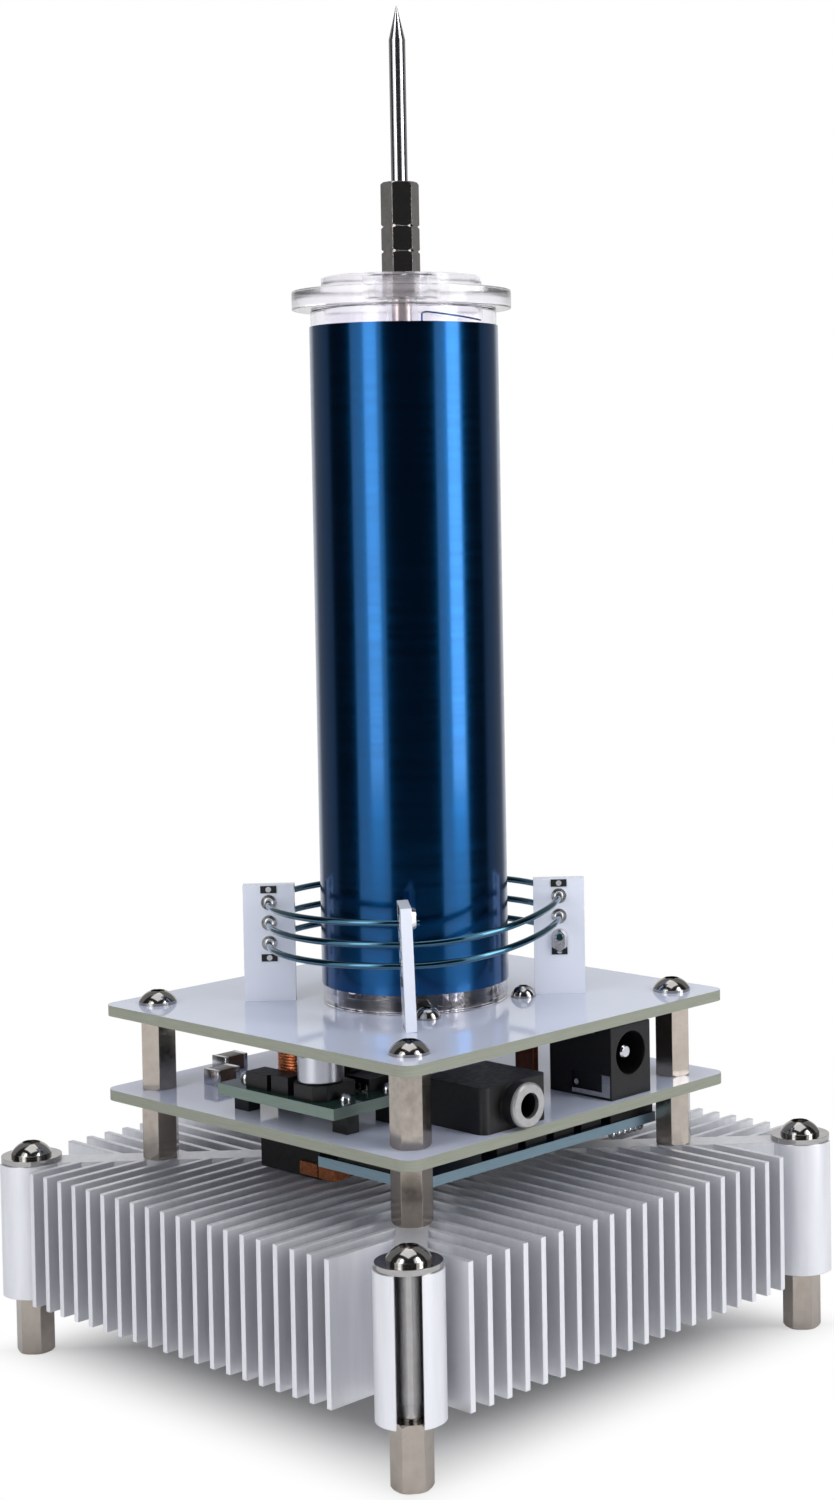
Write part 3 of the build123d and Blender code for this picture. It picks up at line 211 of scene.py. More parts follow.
def relief(material, shader, height_um, size_mm, stretch=(1, 1, 1), edge_mm=0.0):
    """Fine relief of a real height, over edges that catch the light as if slightly rounded."""
    inputs = {"Height": grain(material, size_mm, stretch), "Distance": height_um * MICRON, "Strength": 1.0}
    if edge_mm:
        inputs["Normal"] = add(material, "ShaderNodeBevel", {"Radius": edge_mm * MM}, samples=4).outputs[0]
    feed(shader, {"Normal": add(material, "ShaderNodeBump", inputs).outputs[0]})


# light tone, dark tone, grain in mm, roughness, metallic, relief height in um, relief size in mm,
# stretch of grain and relief, edge radius in mm. Real grit, spark texture and turning marks are 0.02 to
# 0.1 mm and too fine to show, so these reliefs are drawn at 0.12 to 0.3 mm.
SOLID_FINISHES = {
    # extruded aluminium, blasted and clear anodised: pale satin that scatters light, faint die lines
    "anodised_aluminium": ("eeeef1", "dadbe0", 1.4, (0.34, 0.44), 0.65, 2.0, 0.3, (1, 1, 10), 0.15),
    # nickel plate over brass: a warm grey mirror with a little haze
    "nickel_plate": ("bdb4aa", "a59b91", 2.0, (0.14, 0.24), 1.0, 1.0, 0.6, (1, 1, 1), 0.12),
    # polished nickel on the domed heads: clearer than the drawn hexagons
    "polished_nickel": ("b9b7b5", "a3a09d", 1.5, (0.08, 0.14), 1.0, 0.6, 0.6, (1, 1, 1), 0.06),
    # turned stainless steel: bright, with fine rings round its axis
    "turned_steel": ("dcdce0", "c8c8ce", 1.0, (0.10, 0.18), 1.0, 0.3, 0.12, (6, 6, 1), 0.12),
    # black nickel on the hexagons over the cap: a clear mirror, made dark by the room that it shows
    "black_nickel": ("cfcbc8", "b0acaa", 1.0, (0.08, 0.14), 1.0, 0.5, 0.5, (1, 1, 1), 0.12),
    # satin nickel on the audio jack's collar: pale and soft, with no clear reflections
    "satin_nickel": ("c4c3c2", "a5a4a3", 0.8, (0.34, 0.44), 0.8, 2.0, 0.2, (1, 1, 1), 0.12),
    # tin solder: bright and slightly lumpy
    "solder": ("e4e4e6", "b4b4b8", 0.6, (0.14, 0.28), 1.0, 12.0, 0.7, (1, 1, 1), 0.08),
    # drawn aluminium can under a clear sleeve: satin
    "can_aluminium": ("c8cad1", "c0c2ca", 1.5, (0.3, 0.34), 1.0, 1.5, 0.3, (1, 1, 1), 0.2),
    # bare copper strip: warm, with darker stains
    "copper": ("e69a6c", "b8683f", 0.8, (0.22, 0.36), 1.0, 3.0, 0.4, (1, 1, 1), 0.06),
    # moulded nylon: near black with a soft sheen and a fine spark texture
    "moulded_nylon": ("09090b", "050506", 1.5, (0.4, 0.55), 0.0, 6.0, 0.3, (1, 1, 1), 0.25),
    # moulded epoxy packages: matt black
    "epoxy_package": ("0d0d10", "070709", 0.8, (0.42, 0.55), 0.0, 5.0, 0.15, (1, 1, 1), 0.1),
    # sintered ferrite: dark grey and dull
    "ferrite": ("2a2a2e", "1a1a1d", 0.6, (0.4, 0.6), 0.0, 8.0, 0.2, (1, 1, 1), 0.15),
    # fired ceramic: brown, lightly glossy
    "ceramic": ("5d4534", "3f2c1f", 0.8, (0.25, 0.4), 0.0, 4.0, 0.2, (1, 1, 1), 0.12),
    # dipped film capacitor: glossy brown lacquer
    "brown_lacquer": ("5a2d18", "3a1b0e", 1.0, (0.12, 0.25), 0.0, 4.0, 0.5, (1, 1, 1), 0.3),
    # glass-fibre laminate of the posts under white mask: pale, with a gloss that waves a little
    "post_board": ("e2e6f1", "dce0ea", 5.0, (0.1, 0.2), 0.0, 3.0, 4.0, (1, 1, 1), 0.1),
}

FINISHES = {
    "anodised_aluminium": ("heatsink",),
    "nickel_plate": (
        "leg_standoffs", "lower_standoffs", "upper_standoffs", "terminal_nuts", "cap_screw",
    ),
    "polished_nickel": (
        "boss_washers", "boss_screws", "board_screws", "plug_screws", "terminal_screws", "transistor_screw",
    ),
    "turned_steel": ("discharge_needle", "power_jack_pin"),
    "satin_nickel": ("audio_jack_ring",),
    "black_nickel": ("cap_standoff", "lock_nut", "needle_holder"),
    "solder": (
        "post_eyelets", "end_solder", "lead_lug", "converter_pins", "switcher_legs",
        "driver_joints", "power_jack_contact", "audio_jack_contact", "transistor_leads",
    ),
    "can_aluminium": ("filter_can",),
    "copper": ("coupling_tabs", "inductor_winding"),
    "moulded_nylon": (
        "power_jack_housing", "audio_jack_housing", "converter_spacers", "filter_can_base",
        "driver_sockets", "coupling_block",
    ),
    "epoxy_package": ("converter_chips", "driver_chips", "power_transistor"),
    "ferrite": ("inductor_core",),
    "ceramic": ("chip_capacitors",),
    "brown_lacquer": ("film_capacitor",),
    "post_board": ("primary_posts",),
    "black_pad": ("post_lands",),
    "white_board": ("upper_board", "lower_board"),
    "green_board": ("converter_board",),
    "blue_board": ("driver_board",),
    "polished_acrylic": ("coil_tube", "coil_plug"),
    "turned_acrylic": ("top_cap",),
    "secondary_enamel": ("secondary_winding", "top_lead"),
    "primary_enamel": ("primary_winding",),
}


def make_solid_finishes():
    for name, values in SOLID_FINISHES.items():
        light, dark, grain_mm, rough, metallic, height_um, size_mm, stretch, edge_mm = values
        material, shader = new_finish(name, {"Metallic": metallic})
        mottle(material, shader, hex_colour(light), hex_colour(dark), grain_mm, rough, stretch)
        relief(material, shader, height_um, size_mm, stretch, edge_mm)


def make_secondary_enamel(colour):
    """Varnished magnet wire: copper seen through deep blue enamel, under a clear gloss coat."""
    values = {"Metallic": 1.0, "Coat Weight": 0.3, "Coat Roughness": 0.08}
    material, shader = new_finish("secondary_enamel", values)
    # some turns are a little deeper in tone than others, in bands a millimetre or two high
    bands = {"grain_mm": 1.6, "rough": (0.16, 0.21), "stretch": (30, 30, 1)}
    mottle(material, shader, tuple(colour), darker(colour, 0.8), **bands)


def make_primary_enamel(colour):
    """Enamelled copper wire: dark slate blue, cyan where it catches a light."""
    values = {"Metallic": 1.0, "Coat Weight": 1.0, "Coat Roughness": 0.04}
    material, shader = new_finish("primary_enamel", values)
    mottle(material, shader, tuple(colour), darker(colour, 0.75), grain_mm=2.5, rough=(0.12, 0.2))


def make_acrylic(name, rough):
    """Cast acrylic: water clear, polished as a tube and slightly hazed where it is turned on a lathe."""
    values = {"Roughness": rough, "IOR": 1.49, "Transmission Weight": 1.0}
    material, shader = new_finish(name, values)
    tone = two_tones(material, hex_colour("fdfcff"), hex_colour("f6f4fc"), grain_mm=6.0)
    feed(shader, {"Base Color": tone})
    relief(material, shader, height_um=3.0, size_mm=3.0)


def make_board_finish(name, mask, laminate, laminate_light):
    """Glass-fibre laminate: gloss mask on the faces, bare routed laminate round the edge."""
    material, shader = new_finish(name)
    normal = add(material, "ShaderNodeTexCoord").outputs["Normal"]
    upright = add(material, "ShaderNodeSeparateXYZ", {0: normal}).outputs[2]
    upright = add(material, "ShaderNodeMath", {0: upright}, operation="ABSOLUTE").outputs[0]
    # a face counts as lying flat when it tilts by less than 45 degrees
    flat = {0: upright, 1: math.cos(math.radians(45))}
    face = add(material, "ShaderNodeMath", flat, operation="GREATER_THAN").outputs[0]
    mask_tone = two_tones(material, tuple(mask), darker(mask, 0.94), grain_mm=9.0)
    # the laminate's glass layers lie a fifth of a millimetre apart
    edge_tones = hex_colour(laminate), hex_colour(laminate_light)
    edge_tone = two_tones(material, *edge_tones, grain_mm=0.2, stretch=(20, 20, 1))
    both = {FACTOR: face, FIRST: edge_tone, SECOND: mask_tone}
    tone = add(material, "ShaderNodeMix", both, data_type="RGBA").outputs[MIXED]
    # the edge is rough and the mask glossy
    polish = add(material, "ShaderNodeMapRange", {"Value": face, "To Min": 0.6, "To Max": 0.07}).outputs[0]
    feed(shader, {"Base Color": tone, "Roughness": polish})
    relief(material, shader, height_um=3.0, size_mm=5.0)


def make_black_pad():
    """Pads on the posts, painted black for the dark room that their metal mirrors, with a painted highlight
    in the middle of each as a bright metal dot.
    """
    material, shader = new_finish("black_pad")
    place = add(material, "ShaderNodeTexCoord").outputs["Object"]
    flat = add(material, "ShaderNodeVectorMath", {0: place, 1: (1, 1, 0)}, operation="MULTIPLY").outputs[0]
    out = add(material, "ShaderNodeVectorMath", {0: flat}, operation="LENGTH").outputs["Value"]
    out = {0: out, 1: PAINTED_GLINT_REACH * MM}
    out = add(material, "ShaderNodeMath", out, operation="SUBTRACT").outputs[0]
    height = add(material, "ShaderNodeSeparateXYZ", {0: place}).outputs[2]
    painted_glints = []
    for level in PAINTED_GLINT_LEVELS:
        rise = {0: height, 1: level * MM}
        rise = add(material, "ShaderNodeMath", rise, operation="SUBTRACT").outputs[0]
        offset = add(material, "ShaderNodeCombineXYZ", {0: out, 1: rise}).outputs[0]
        reach = add(material, "ShaderNodeVectorMath", {0: offset}, operation="LENGTH").outputs["Value"]
        inside = {0: reach, 1: PAINTED_GLINT_RADIUS * MM}
        painted_glints.append(add(material, "ShaderNodeMath", inside, operation="LESS_THAN").outputs[0])
    painted_glint = add(material, "ShaderNodeMath", {0: painted_glints[0], 1: painted_glints[1]}, operation="MAXIMUM").outputs[0]
    # painted reflection and highlight: the pad is near-black for the dark room its metal mirrors, and the
    # dot is a near-white metal glint
    tones = {FACTOR: painted_glint, FIRST: hex_colour("121316"), SECOND: hex_colour("e6e6e8")}
    tone = add(material, "ShaderNodeMix", tones, data_type="RGBA").outputs[MIXED]
    feed(shader, {"Base Color": tone, "Metallic": painted_glint})
    relief(material, shader, height_um=3.0, size_mm=0.15)


class TRANSFORMER_OT_finishes(bpy.types.Operator):
    """Gives every node of the frame the finish of the real piece"""

    bl_idname = "transformer.finishes"
    bl_label = "Finishes"

    def execute(self, context):
        colours = context.scene.transformer_colours
        # the frame's own materials go first, because some have the names of new ones
        for packed in list(bpy.data.materials):
            bpy.data.materials.remove(packed)
        make_solid_finishes()
        make_secondary_enamel(colours.secondary)
        make_primary_enamel(colours.primary)
        make_acrylic("polished_acrylic", rough=0.0)
        make_acrylic("turned_acrylic", rough=0.12)
        make_board_finish("white_board", colours.mask, "7f8375", "95988a")
        make_board_finish("green_board", hex_colour("243f37"), "5f6f67", "75857c")
        make_board_finish("blue_board", hex_colour("0b1826"), "7892a0", "8ca7b4")
        make_black_pad()
        for finish, nodes in FINISHES.items():
            for node in nodes:
                mesh = frame["nodes"][node].data
                mesh.materials.clear()
                mesh.materials.append(bpy.data.materials[finish])
        return {"FINISHED"}


# ------------------------------------------------------------------ modelling helpers
def start_clean():
    if bpy.context.mode != "OBJECT":
        bpy.ops.object.mode_set(mode="OBJECT")
    bpy.ops.object.select_all(action="DESELECT")


def pick(*pieces):
    """Selects pieces and makes the first one active."""
    start_clean()
    for piece in pieces:
        piece.select_set(True)
    bpy.context.view_layer.objects.active = pieces[0]


def tidy_faces(piece):
    """Merges doubled points and turns every face outwards."""
    pick(piece)
    bpy.ops.object.mode_set(mode="EDIT")
    bpy.ops.mesh.select_all(action="SELECT")
    bpy.ops.mesh.remove_doubles(threshold=2 * MICRON)
    bpy.ops.mesh.normals_make_consistent(inside=False)
    bpy.ops.object.mode_set(mode="OBJECT")


def complete(piece, name, node, angle, finish=None):
    """Bakes a piece's place into its mesh and hangs it on the body of the node that it stands for."""
    pick(piece)
    piece.name = name
    bpy.ops.object.transform_apply(location=True, rotation=True, scale=True)
    bpy.ops.object.shade_smooth_by_angle(angle=math.radians(angle))
    if finish:
        piece.data.materials.clear()
        piece.data.materials.append(bpy.data.materials[finish])
    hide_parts(node)
    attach(piece, frame["nodes"][node]["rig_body"])
    start_clean()


def turned(stops, segments, centre=(0.0, 0.0)):
    """A turned shape: a ring that is extruded and resized from stop to stop along its outline, in mm."""
    start_clean()
    x, y = centre[0] * MM, centre[1] * MM
    radius, level = stops[0]
    bpy.ops.mesh.primitive_circle_add(
        vertices=segments, radius=radius * MM, fill_type="NOTHING", location=(x, y, level * MM)
    )
    piece = bpy.context.object
    bpy.ops.object.mode_set(mode="EDIT")
    bpy.ops.mesh.select_all(action="SELECT")
    for (low_radius, low), (high_radius, high) in zip(stops, stops[1:]):
        bpy.ops.mesh.extrude_edges_move(TRANSFORM_OT_translate={"value": (0, 0, (high - low) * MM)})
        share = high_radius / low_radius
        bpy.ops.transform.resize(value=(share, share, 1), center_override=(x, y, high * MM))
    tidy_faces(piece)
    return piece


def break_edges(piece, width_mm):
    """Bevels every edge that is sharper than 30 degrees."""
    pick(piece)
    modifier = piece.modifiers.new("edge_break", "BEVEL")
    modifier.width = width_mm * MM
    modifier.segments = 2
    modifier.limit_method = "ANGLE"
    modifier.angle_limit = math.radians(30)
    bpy.ops.object.modifier_apply(modifier=modifier.name)


def winding(low, high, inner, outer, pitch, turn_outline, segments, centre=(0.0, 0.0)):
    """A wound sleeve: one turn, repeated up the former, over a smooth lining. Sizes in mm."""
    count = int((high - low) / pitch)
    turn = turned([(outer + depth, low + rise * pitch) for depth, rise in turn_outline], segments, centre)
    array = turn.modifiers.new("turns", "ARRAY")
    array.count = count
    array.use_relative_offset = False
    array.use_constant_offset = True
    array.constant_offset_displace = (0, 0, pitch * MM)
    pick(turn)
    bpy.ops.object.modifier_apply(modifier=array.name)
    edge, top = outer + turn_outline[0][0], low + count * pitch
    lining = turned([(edge, low), (inner, low), (inner, top), (edge, top)], segments, centre)
    pick(turn, lining)
    bpy.ops.object.join()
    tidy_faces(turn)
    return turn


# ------------------------------------------------------------------ coil
class TRANSFORMER_OT_secondary(bpy.types.Operator):
    """Winds the secondary: one varnished turn, repeated up the tube"""

    bl_idname = "transformer.secondary"
    bl_label = "Secondary winding"

    def execute(self, context):
        sizes = context.scene.transformer_sizes
        low, high = box_mm("secondary_winding")
        inner = box_mm("coil_tube")[1].x + CLEARANCE
        groove = sizes.turn_groove / MM
        outline = [(-groove, 0.0), (0.0, 0.5), (-groove, 1.0)]
        piece = winding(low.z, high.z, inner, high.x, sizes.turn_pitch / MM, outline, segments=72)
        complete(
            piece, "wound_secondary", "secondary_winding", WOUND_ANGLE, "secondary_enamel"
        )
        return {"FINISHED"}


class TRANSFORMER_OT_tube(bpy.types.Operator):
    """Turns the clear tube under the winding and the clear cap on its rim"""

    bl_idname = "transformer.tube"
    bl_label = "Clear tube and cap"

    def execute(self, context):
        low, high = box_mm("coil_tube")
        outer, inner, foot, rim = high.x, high.x - TUBE_WALL, low.z + CLEARANCE, high.z
        outline = [(inner, foot), (outer, foot), (outer, rim), (inner, rim), (inner, foot)]
        tube = turned(outline, segments=128)
        break_edges(tube, TUBE_EDGE)
        complete(tube, "clear_tube", "coil_tube", CLEAR_ANGLE, "polished_acrylic")

        low, high = box_mm("top_cap")
        centre = ((low.x + high.x) / 2, (low.y + high.y) / 2)
        flange, seat = high.x - centre[0], rim + CLEARANCE
        step, floor = high.z - CAP_DISC_HEIGHT, rim + CAP_FLOOR
        outline = [
            (CAP_BORE, low.z), (CAP_SPIGOT, low.z), (CAP_SPIGOT, seat), (flange, seat), (flange, step),
            (CAP_DISC, step), (CAP_DISC, high.z), (CAP_POCKET, high.z), (CAP_POCKET, floor),
            (CAP_BORE, floor), (CAP_BORE, low.z),
        ]
        cap = turned(outline, segments=128, centre=centre)
        break_edges(cap, CAP_EDGE)
        complete(cap, "clear_cap", "top_cap", CLEAR_ANGLE, "turned_acrylic")
        return {"FINISHED"}


class TRANSFORMER_OT_primary(bpy.types.Operator):
    """Bends the primary wire from post to post"""

    bl_idname = "transformer.primary"
    bl_label = "Primary wire"

    def execute(self, context):
        crossings = [(math.radians(angle), level) for level in PRIMARY_LEVELS for angle in POST_ANGLES]
        stops = []
        for angle, level in crossings:
            x, y = math.cos(angle), math.sin(angle)
            stops.append((Vector((PRIMARY_RADIUS * x, PRIMARY_RADIUS * y, level)), Vector((y, -x, 0))))
        (first, leaving), (last, arriving) = stops[0], stops[-1]
        stops.insert(0, (first - leaving * PRIMARY_END, leaving))
        stops.append((last + arriving * PRIMARY_END, arriving))
        # handles of this length give true arcs between the posts and straight ends past them
        sweeps = [abs(math.remainder(b[0] - a[0], math.tau)) for a, b in zip(crossings, crossings[1:])]
        arcs = [PRIMARY_RADIUS * 4 / 3 * math.tan(sweep / 4) for sweep in sweeps]
        reach = [PRIMARY_END / 3, *arcs, PRIMARY_END / 3]
        start_clean()
        bpy.ops.curve.primitive_bezier_curve_add()
        piece = bpy.context.object
        curve = piece.data
        points = curve.splines[0].bezier_points
        points.add(len(stops) - len(points))
        for index, (place, heading) in enumerate(stops):
            point = points[index]
            point.handle_left_type = point.handle_right_type = "FREE"
            point.co = place * MM
            point.handle_left = (place - heading * reach[max(index - 1, 0)]) * MM
            point.handle_right = (place + heading * reach[min(index, len(reach) - 1)]) * MM
        curve.dimensions = "3D"
        curve.resolution_u = 32
        curve.bevel_depth = context.scene.transformer_sizes.primary_wire / 2
        curve.bevel_resolution = 5
        curve.use_fill_caps = True
        bpy.ops.object.convert(target="MESH")
        tidy_faces(piece)
        complete(piece, "primary_wire", "primary_winding", WOUND_ANGLE, "primary_enamel")
        return {"FINISHED"}


# ------------------------------------------------------------------ small parts
class TRANSFORMER_OT_choke(bpy.types.Operator):
    """Winds the choke's copper: round turns side by side on its drum"""

    bl_idname = "transformer.choke"
    bl_label = "Choke winding"

    def execute(self, context):
        wire = context.scene.transformer_sizes.choke_wire / MM
        low, high = box_mm("inductor_winding")
        centre = ((low.x + high.x) / 2, (low.y + high.y) / 2)
        outer = high.x - centre[0]
        turns = round((high.z - low.z) / wire)
        # the turns fill the drum, less a hair's breadth so that the last one isn't dropped
        pitch = (high.z - low.z) / turns - MICRON
        half = pitch / 2
        arc = [math.radians(step) for step in (-72, -36, 0, 36, 72)]
        bulge = [(half * (math.cos(a) - 1), 0.5 + math.sin(a) / 2) for a in arc]
        outline = [(-half, 0.0), *bulge, (-half, 1.0)]
        piece = winding(
            low.z, high.z, CHOKE_INNER, outer, pitch, outline, segments=48, centre=centre
        )
        complete(piece, "choke_turns", "inductor_winding", WOUND_ANGLE, "copper")
        return {"FINISHED"}


def cut_across(piece, x):
    """Cuts a piece at a place along X, in mm, and keeps both sides."""
    bpy.ops.object.mode_set(mode="EDIT")
    bpy.ops.mesh.select_all(action="SELECT")
    bpy.ops.mesh.bisect(plane_co=(x * MM, 0, 0), plane_no=(1, 0, 0))
    bpy.ops.object.mode_set(mode="OBJECT")


class TRANSFORMER_OT_chip_capacitors(bpy.types.Operator):
    """Models the two large chip capacitors with their tinned ends"""

    bl_idname = "transformer.chip_capacitors"
    bl_label = "Chip capacitors"

    def execute(self, context):
        low, high = box_mm("chip_capacitors")
        size = (CAPACITOR_LENGTH, CAPACITOR_WIDTH, high.z - low.z)
        middle = [corner + side / 2 for corner, side in zip(low, size)]
        start_clean()
        bpy.ops.mesh.primitive_cube_add(size=1, location=[value * MM for value in middle])
        first = bpy.context.object
        first.scale = [side * MM for side in size]
        bpy.ops.object.transform_apply(location=True, rotation=True, scale=True)
        for finish in ("ceramic", "solder"):
            first.data.materials.append(bpy.data.materials[finish])
        ceramic = CAPACITOR_LENGTH / 2 - TIN_LENGTH
        for side in (-1, 1):
            cut_across(first, middle[0] + side * ceramic)
        for face in first.data.polygons:
            face.select = abs(face.center.x / MM - middle[0]) < ceramic
            face.material_index = 0 if face.select else 1
        bpy.ops.object.mode_set(mode="EDIT")
        bpy.ops.mesh.select_mode(type="FACE")
        bpy.ops.transform.resize(
            value=(1, *[1 - 2 * TIN_STEP / side for side in size[1:]]),
            center_override=[value * MM for value in middle],
        )
        bpy.ops.object.mode_set(mode="OBJECT")
        break_edges(first, CAPACITOR_EDGE)
        bpy.ops.object.duplicate(linked=False)
        second = bpy.context.object
        second.location = [(end - start - side) * MM for start, end, side in zip(low, high, size)]
        pick(first, second)
        bpy.ops.object.join()
        complete(first, "tinned_capacitors", "chip_capacitors", SMALL_PART_ANGLE)
        return {"FINISHED"}


# ------------------------------------------------------------------ stage
# the camera, fitted to the photograph: place in metres, turn in radians, lens and film in mm
CAMERA_PLACE = (-0.264403, -0.279154, 0.129931)
CAMERA_TURN = (1.526578, 0.014705, -0.838042)
CAMERA_LENS, CAMERA_FILM, CAMERA_NEAR = 61.06, 36, 0.01
CAMERA_SHIFT = (-0.12884, -0.10337)
TOWARDS_CAMERA = Vector((CAMERA_PLACE[0], CAMERA_PLACE[1], 0)).normalized()

# upright softboxes: turn from the camera's side in degrees, distance, width, foot and top in metres, and
# radiance, where 1 is white. Each is a dim sheet with a brighter core in front, so that its edge is soft.
SOFTBOXES = {
    "left_sheet": (-48, 0.56, 0.42, -0.05, 0.8, 1.1),
    "left_core": (-42, 0.55, 0.16, 0.02, 0.8, 2.6),
    "right_sheet": (54, 0.56, 0.36, -0.05, 0.8, 1.3),
    "right_core": (60, 0.55, 0.17, 0.02, 0.8, 4.2),
}
# the softbox overhead: height and side in metres, and radiance
TOP_HEIGHT, TOP_SIDE, TOP_RADIANCE = 0.9, 0.7, 1.3

# The room that metal mirrors is dark. Its wings and the white sweep behind are told by the cosine to the
# line away from the camera: where each starts, where it is full, and its tone.
ROOM_TONE = 0.035
WINGS = (0.21, 0.3, 0.32)
SWEEP = (0.8, 0.9, 0.68)
# acrylic mirrors the room's front at this share, which rises to white from the first cosine to the second
FRONT = (-0.6, 0.0, 0.6)
# light from all round on what isn't a mirror, a little cooler than white
FILL_COLOUR, FILL_TONE = hex_colour("f4f7ff"), 0.42
WHITE = hex_colour("ffffff")

# the floor in metres: its radius, its gap under the legs, and where its shadow starts to fade and is gone
FLOOR_RADIUS, FLOOR_GAP = 0.3, 0.0001
SHADOW_FADES, SHADOW_GONE = 0.027, 0.051
# paper as the camera sees it near the object, painted darker to deepen its real shadow, and as it lights
# the object
PAPER_SHADED, PAPER_LIT = hex_colour("bfbfbf"), hex_colour("f6f6f7")


def lamp(name, place, width, height, radiance):
    """A rectangular lamp of even radiance, its sizes in metres."""
    bpy.ops.object.light_add(type="AREA", location=place)
    piece = bpy.context.object
    piece.name = name
    piece.data.shape = "RECTANGLE"
    piece.data.size = width
    piece.data.size_y = height
    piece.data.energy = radiance * math.pi * width * height
    return piece


def softbox(name, turn, distance, width, foot, top, radiance):
    """An upright lamp that faces the object, turned by some degrees from the camera's side."""
    turn = math.radians(turn)
    x, y = TOWARDS_CAMERA.x, TOWARDS_CAMERA.y
    side = Vector((x * math.cos(turn) - y * math.sin(turn), x * math.sin(turn) + y * math.cos(turn), 0))
    place = side * distance + Vector((0, 0, (foot + top) / 2))
    piece = lamp(name, place, width, top - foot, radiance)
    piece.rotation_euler = side.to_track_quat("Z", "Y").to_euler()


def studio_surround():
    """White for the camera and through the acrylic; metal sees a white sweep behind and a dark room."""
    world = bpy.data.worlds.new("studio")
    bpy.context.scene.world = world
    world.use_nodes = True
    world.node_tree.nodes.clear()
    direction = add(world, "ShaderNodeTexCoord").outputs["Generated"]
    away = {0: direction, 1: -TOWARDS_CAMERA}
    away = add(world, "ShaderNodeVectorMath", away, operation="DOT_PRODUCT").outputs["Value"]
    start, full, tone = WINGS
    wings = {"Value": away, "From Min": start, "From Max": full, "To Min": ROOM_TONE, "To Max": tone}
    wings = add(world, "ShaderNodeMapRange", wings).outputs[0]
    start, full, tone = SWEEP
    sweep = {"Value": away, "From Min": start, "From Max": full, "To Max": tone}
    sweep = add(world, "ShaderNodeMapRange", sweep).outputs[0]
    tone = add(world, "ShaderNodeMath", {0: wings, 1: sweep}, operation="ADD").outputs[0]
    room = add(world, "ShaderNodeBackground", {"Strength": tone}).outputs[0]
    fill = {"Color": FILL_COLOUR, "Strength": FILL_TONE}
    fill = add(world, "ShaderNodeBackground", fill).outputs[0]
    white = add(world, "ShaderNodeBackground", {"Color": WHITE}).outputs[0]
    rays = add(world, "ShaderNodeLightPath").outputs
    lit = add(world, "ShaderNodeMixShader", {0: rays["Is Glossy Ray"], 1: fill, 2: room}).outputs[0]
    # through the acrylic the sweep is white behind, while what mirrors the room's front stays dark
    start, full, tone = FRONT
    front = {"Value": away, "From Min": start, "From Max": full, "To Min": tone}
    front = add(world, "ShaderNodeMapRange", front).outputs[0]
    mirrored = {0: rays["Glossy Depth"], 1: 0.5}
    mirrored = add(world, "ShaderNodeMath", mirrored, operation="GREATER_THAN").outputs[0]
    # sockets 2 and 3 are those of a Mix node that mixes plain numbers
    through = add(world, "ShaderNodeMix", {0: mirrored, 2: 1.0, 3: front}, data_type="FLOAT").outputs[0]
    through = {0: through, 1: rays["Is Transmission Ray"]}
    through = add(world, "ShaderNodeMath", through, operation="MULTIPLY").outputs[0]
    seen = {0: rays["Is Camera Ray"], 1: through}
    seen = add(world, "ShaderNodeMath", seen, operation="MAXIMUM").outputs[0]
    both = add(world, "ShaderNodeMixShader", {0: seen, 1: lit, 2: white}).outputs[0]
    add(world, "ShaderNodeOutputWorld", {"Surface": both})


def make_paper():
    """White paper that keeps the object's shadow and runs out into the white surround."""
    paper = bpy.data.materials.new("white_paper")
    paper.use_nodes = True
    paper.node_tree.nodes.clear()
    rays = add(paper, "ShaderNodeLightPath").outputs
    # painted shade: the camera sees the matt paper darker than the light it throws back onto the object
    tones = {FACTOR: rays["Is Camera Ray"], FIRST: PAPER_LIT, SECOND: PAPER_SHADED}
    tone = add(paper, "ShaderNodeMix", tones, data_type="RGBA").outputs[MIXED]
    matt = add(paper, "ShaderNodeBsdfDiffuse", {"Color": tone}).outputs[0]
    glow = add(paper, "ShaderNodeEmission", {"Color": WHITE, "Strength": 1.0}).outputs[0]
    # painted shade: under the heat sink the paper is matt and darker, so its real shadow shows there
    # deepened; towards the edge of the square under the sink it turns to white glow, and the shadow has run
    # out at that edge
    place = add(paper, "ShaderNodeTexCoord").outputs["Object"]
    place = add(paper, "ShaderNodeVectorMath", {0: place}, operation="ABSOLUTE").outputs[0]
    sides = add(paper, "ShaderNodeSeparateXYZ", {0: place}).outputs
    reach = add(paper, "ShaderNodeMath", {0: sides[0], 1: sides[1]}, operation="MAXIMUM").outputs[0]
    share = {"Value": reach, "From Min": SHADOW_FADES, "From Max": SHADOW_GONE}
    share = add(paper, "ShaderNodeMapRange", share, interpolation_type="SMOOTHSTEP").outputs[0]
    seen = {0: rays["Is Camera Ray"], 1: rays["Is Transmission Ray"]}
    seen = add(paper, "ShaderNodeMath", seen, operation="MAXIMUM").outputs[0]
    share = add(paper, "ShaderNodeMath", {0: share, 1: seen}, operation="MULTIPLY").outputs[0]
    both = add(paper, "ShaderNodeMixShader", {0: share, 1: matt, 2: glow}).outputs[0]
    add(paper, "ShaderNodeOutputMaterial", {"Surface": both})
    return paper


def lay_floor():
    start_clean()
    bpy.ops.mesh.primitive_circle_add(
        vertices=128, radius=FLOOR_RADIUS, fill_type="NGON", location=(0, 0, -FLOOR_GAP)
    )
    floor = bpy.context.object
    floor.name = "floor"
    floor.data.materials.append(make_paper())


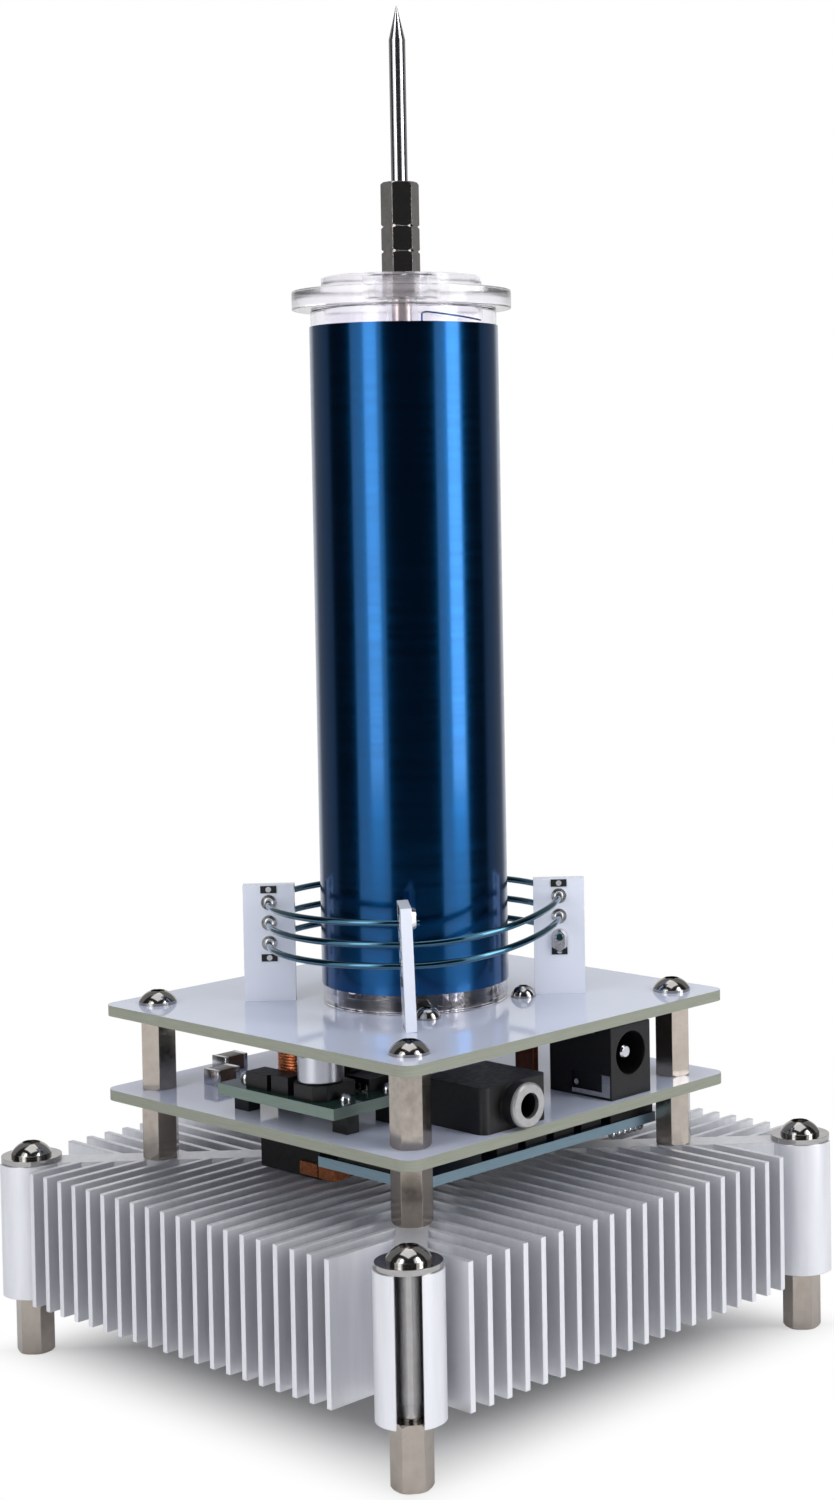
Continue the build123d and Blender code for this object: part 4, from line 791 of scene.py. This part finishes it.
def set_camera():
    bpy.ops.object.camera_add(location=CAMERA_PLACE, rotation=CAMERA_TURN)
    camera = bpy.context.object
    camera.data.sensor_fit = "VERTICAL"
    camera.data.sensor_height = CAMERA_FILM
    camera.data.lens = CAMERA_LENS
    camera.data.shift_x, camera.data.shift_y = CAMERA_SHIFT
    camera.data.clip_start = CAMERA_NEAR
    bpy.context.scene.camera = camera


class TRANSFORMER_OT_stage(bpy.types.Operator):
    """Sets the floor, the background, the lamps and the camera"""

    bl_idname = "transformer.stage"
    bl_label = "Stage"

    def execute(self, context):
        lay_floor()
        studio_surround()
        for name, values in SOFTBOXES.items():
            softbox(name, *values)
        lamp("top_softbox", (0, 0, TOP_HEIGHT), TOP_SIDE, TOP_SIDE, TOP_RADIANCE)
        set_camera()
        context.scene.view_settings.view_transform = "Standard"
        return {"FINISHED"}


class TRANSFORMER_PT_pieces(bpy.types.Panel):
    """Lists the pieces and the stage"""

    bl_label = "Transformer"
    bl_idname = "TRANSFORMER_PT_pieces"
    bl_space_type = "VIEW_3D"
    bl_region_type = "UI"
    bl_category = "Transformer"

    def draw(self, context):
        for operator in OPERATORS:
            self.layout.operator(operator.bl_idname)


OPERATORS = (
    TRANSFORMER_OT_finishes,
    TRANSFORMER_OT_secondary,
    TRANSFORMER_OT_tube,
    TRANSFORMER_OT_primary,
    TRANSFORMER_OT_choke,
    TRANSFORMER_OT_chip_capacitors,
    TRANSFORMER_OT_stage,
)
CLASSES = (TransformerSizes, TransformerColours, *OPERATORS, TRANSFORMER_PT_pieces)


def register():
    for item in CLASSES:
        bpy.utils.register_class(item)
    bpy.types.Scene.transformer_sizes = PointerProperty(type=TransformerSizes)
    bpy.types.Scene.transformer_colours = PointerProperty(type=TransformerColours)


def unregister():
    del bpy.types.Scene.transformer_colours
    del bpy.types.Scene.transformer_sizes
    for item in reversed(CLASSES):
        bpy.utils.unregister_class(item)


def main():
    register()
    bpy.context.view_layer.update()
    for operator in OPERATORS:
        group, name = operator.bl_idname.split(".")
        getattr(getattr(bpy.ops, group), name)()


if __name__ == "__main__":
    main()
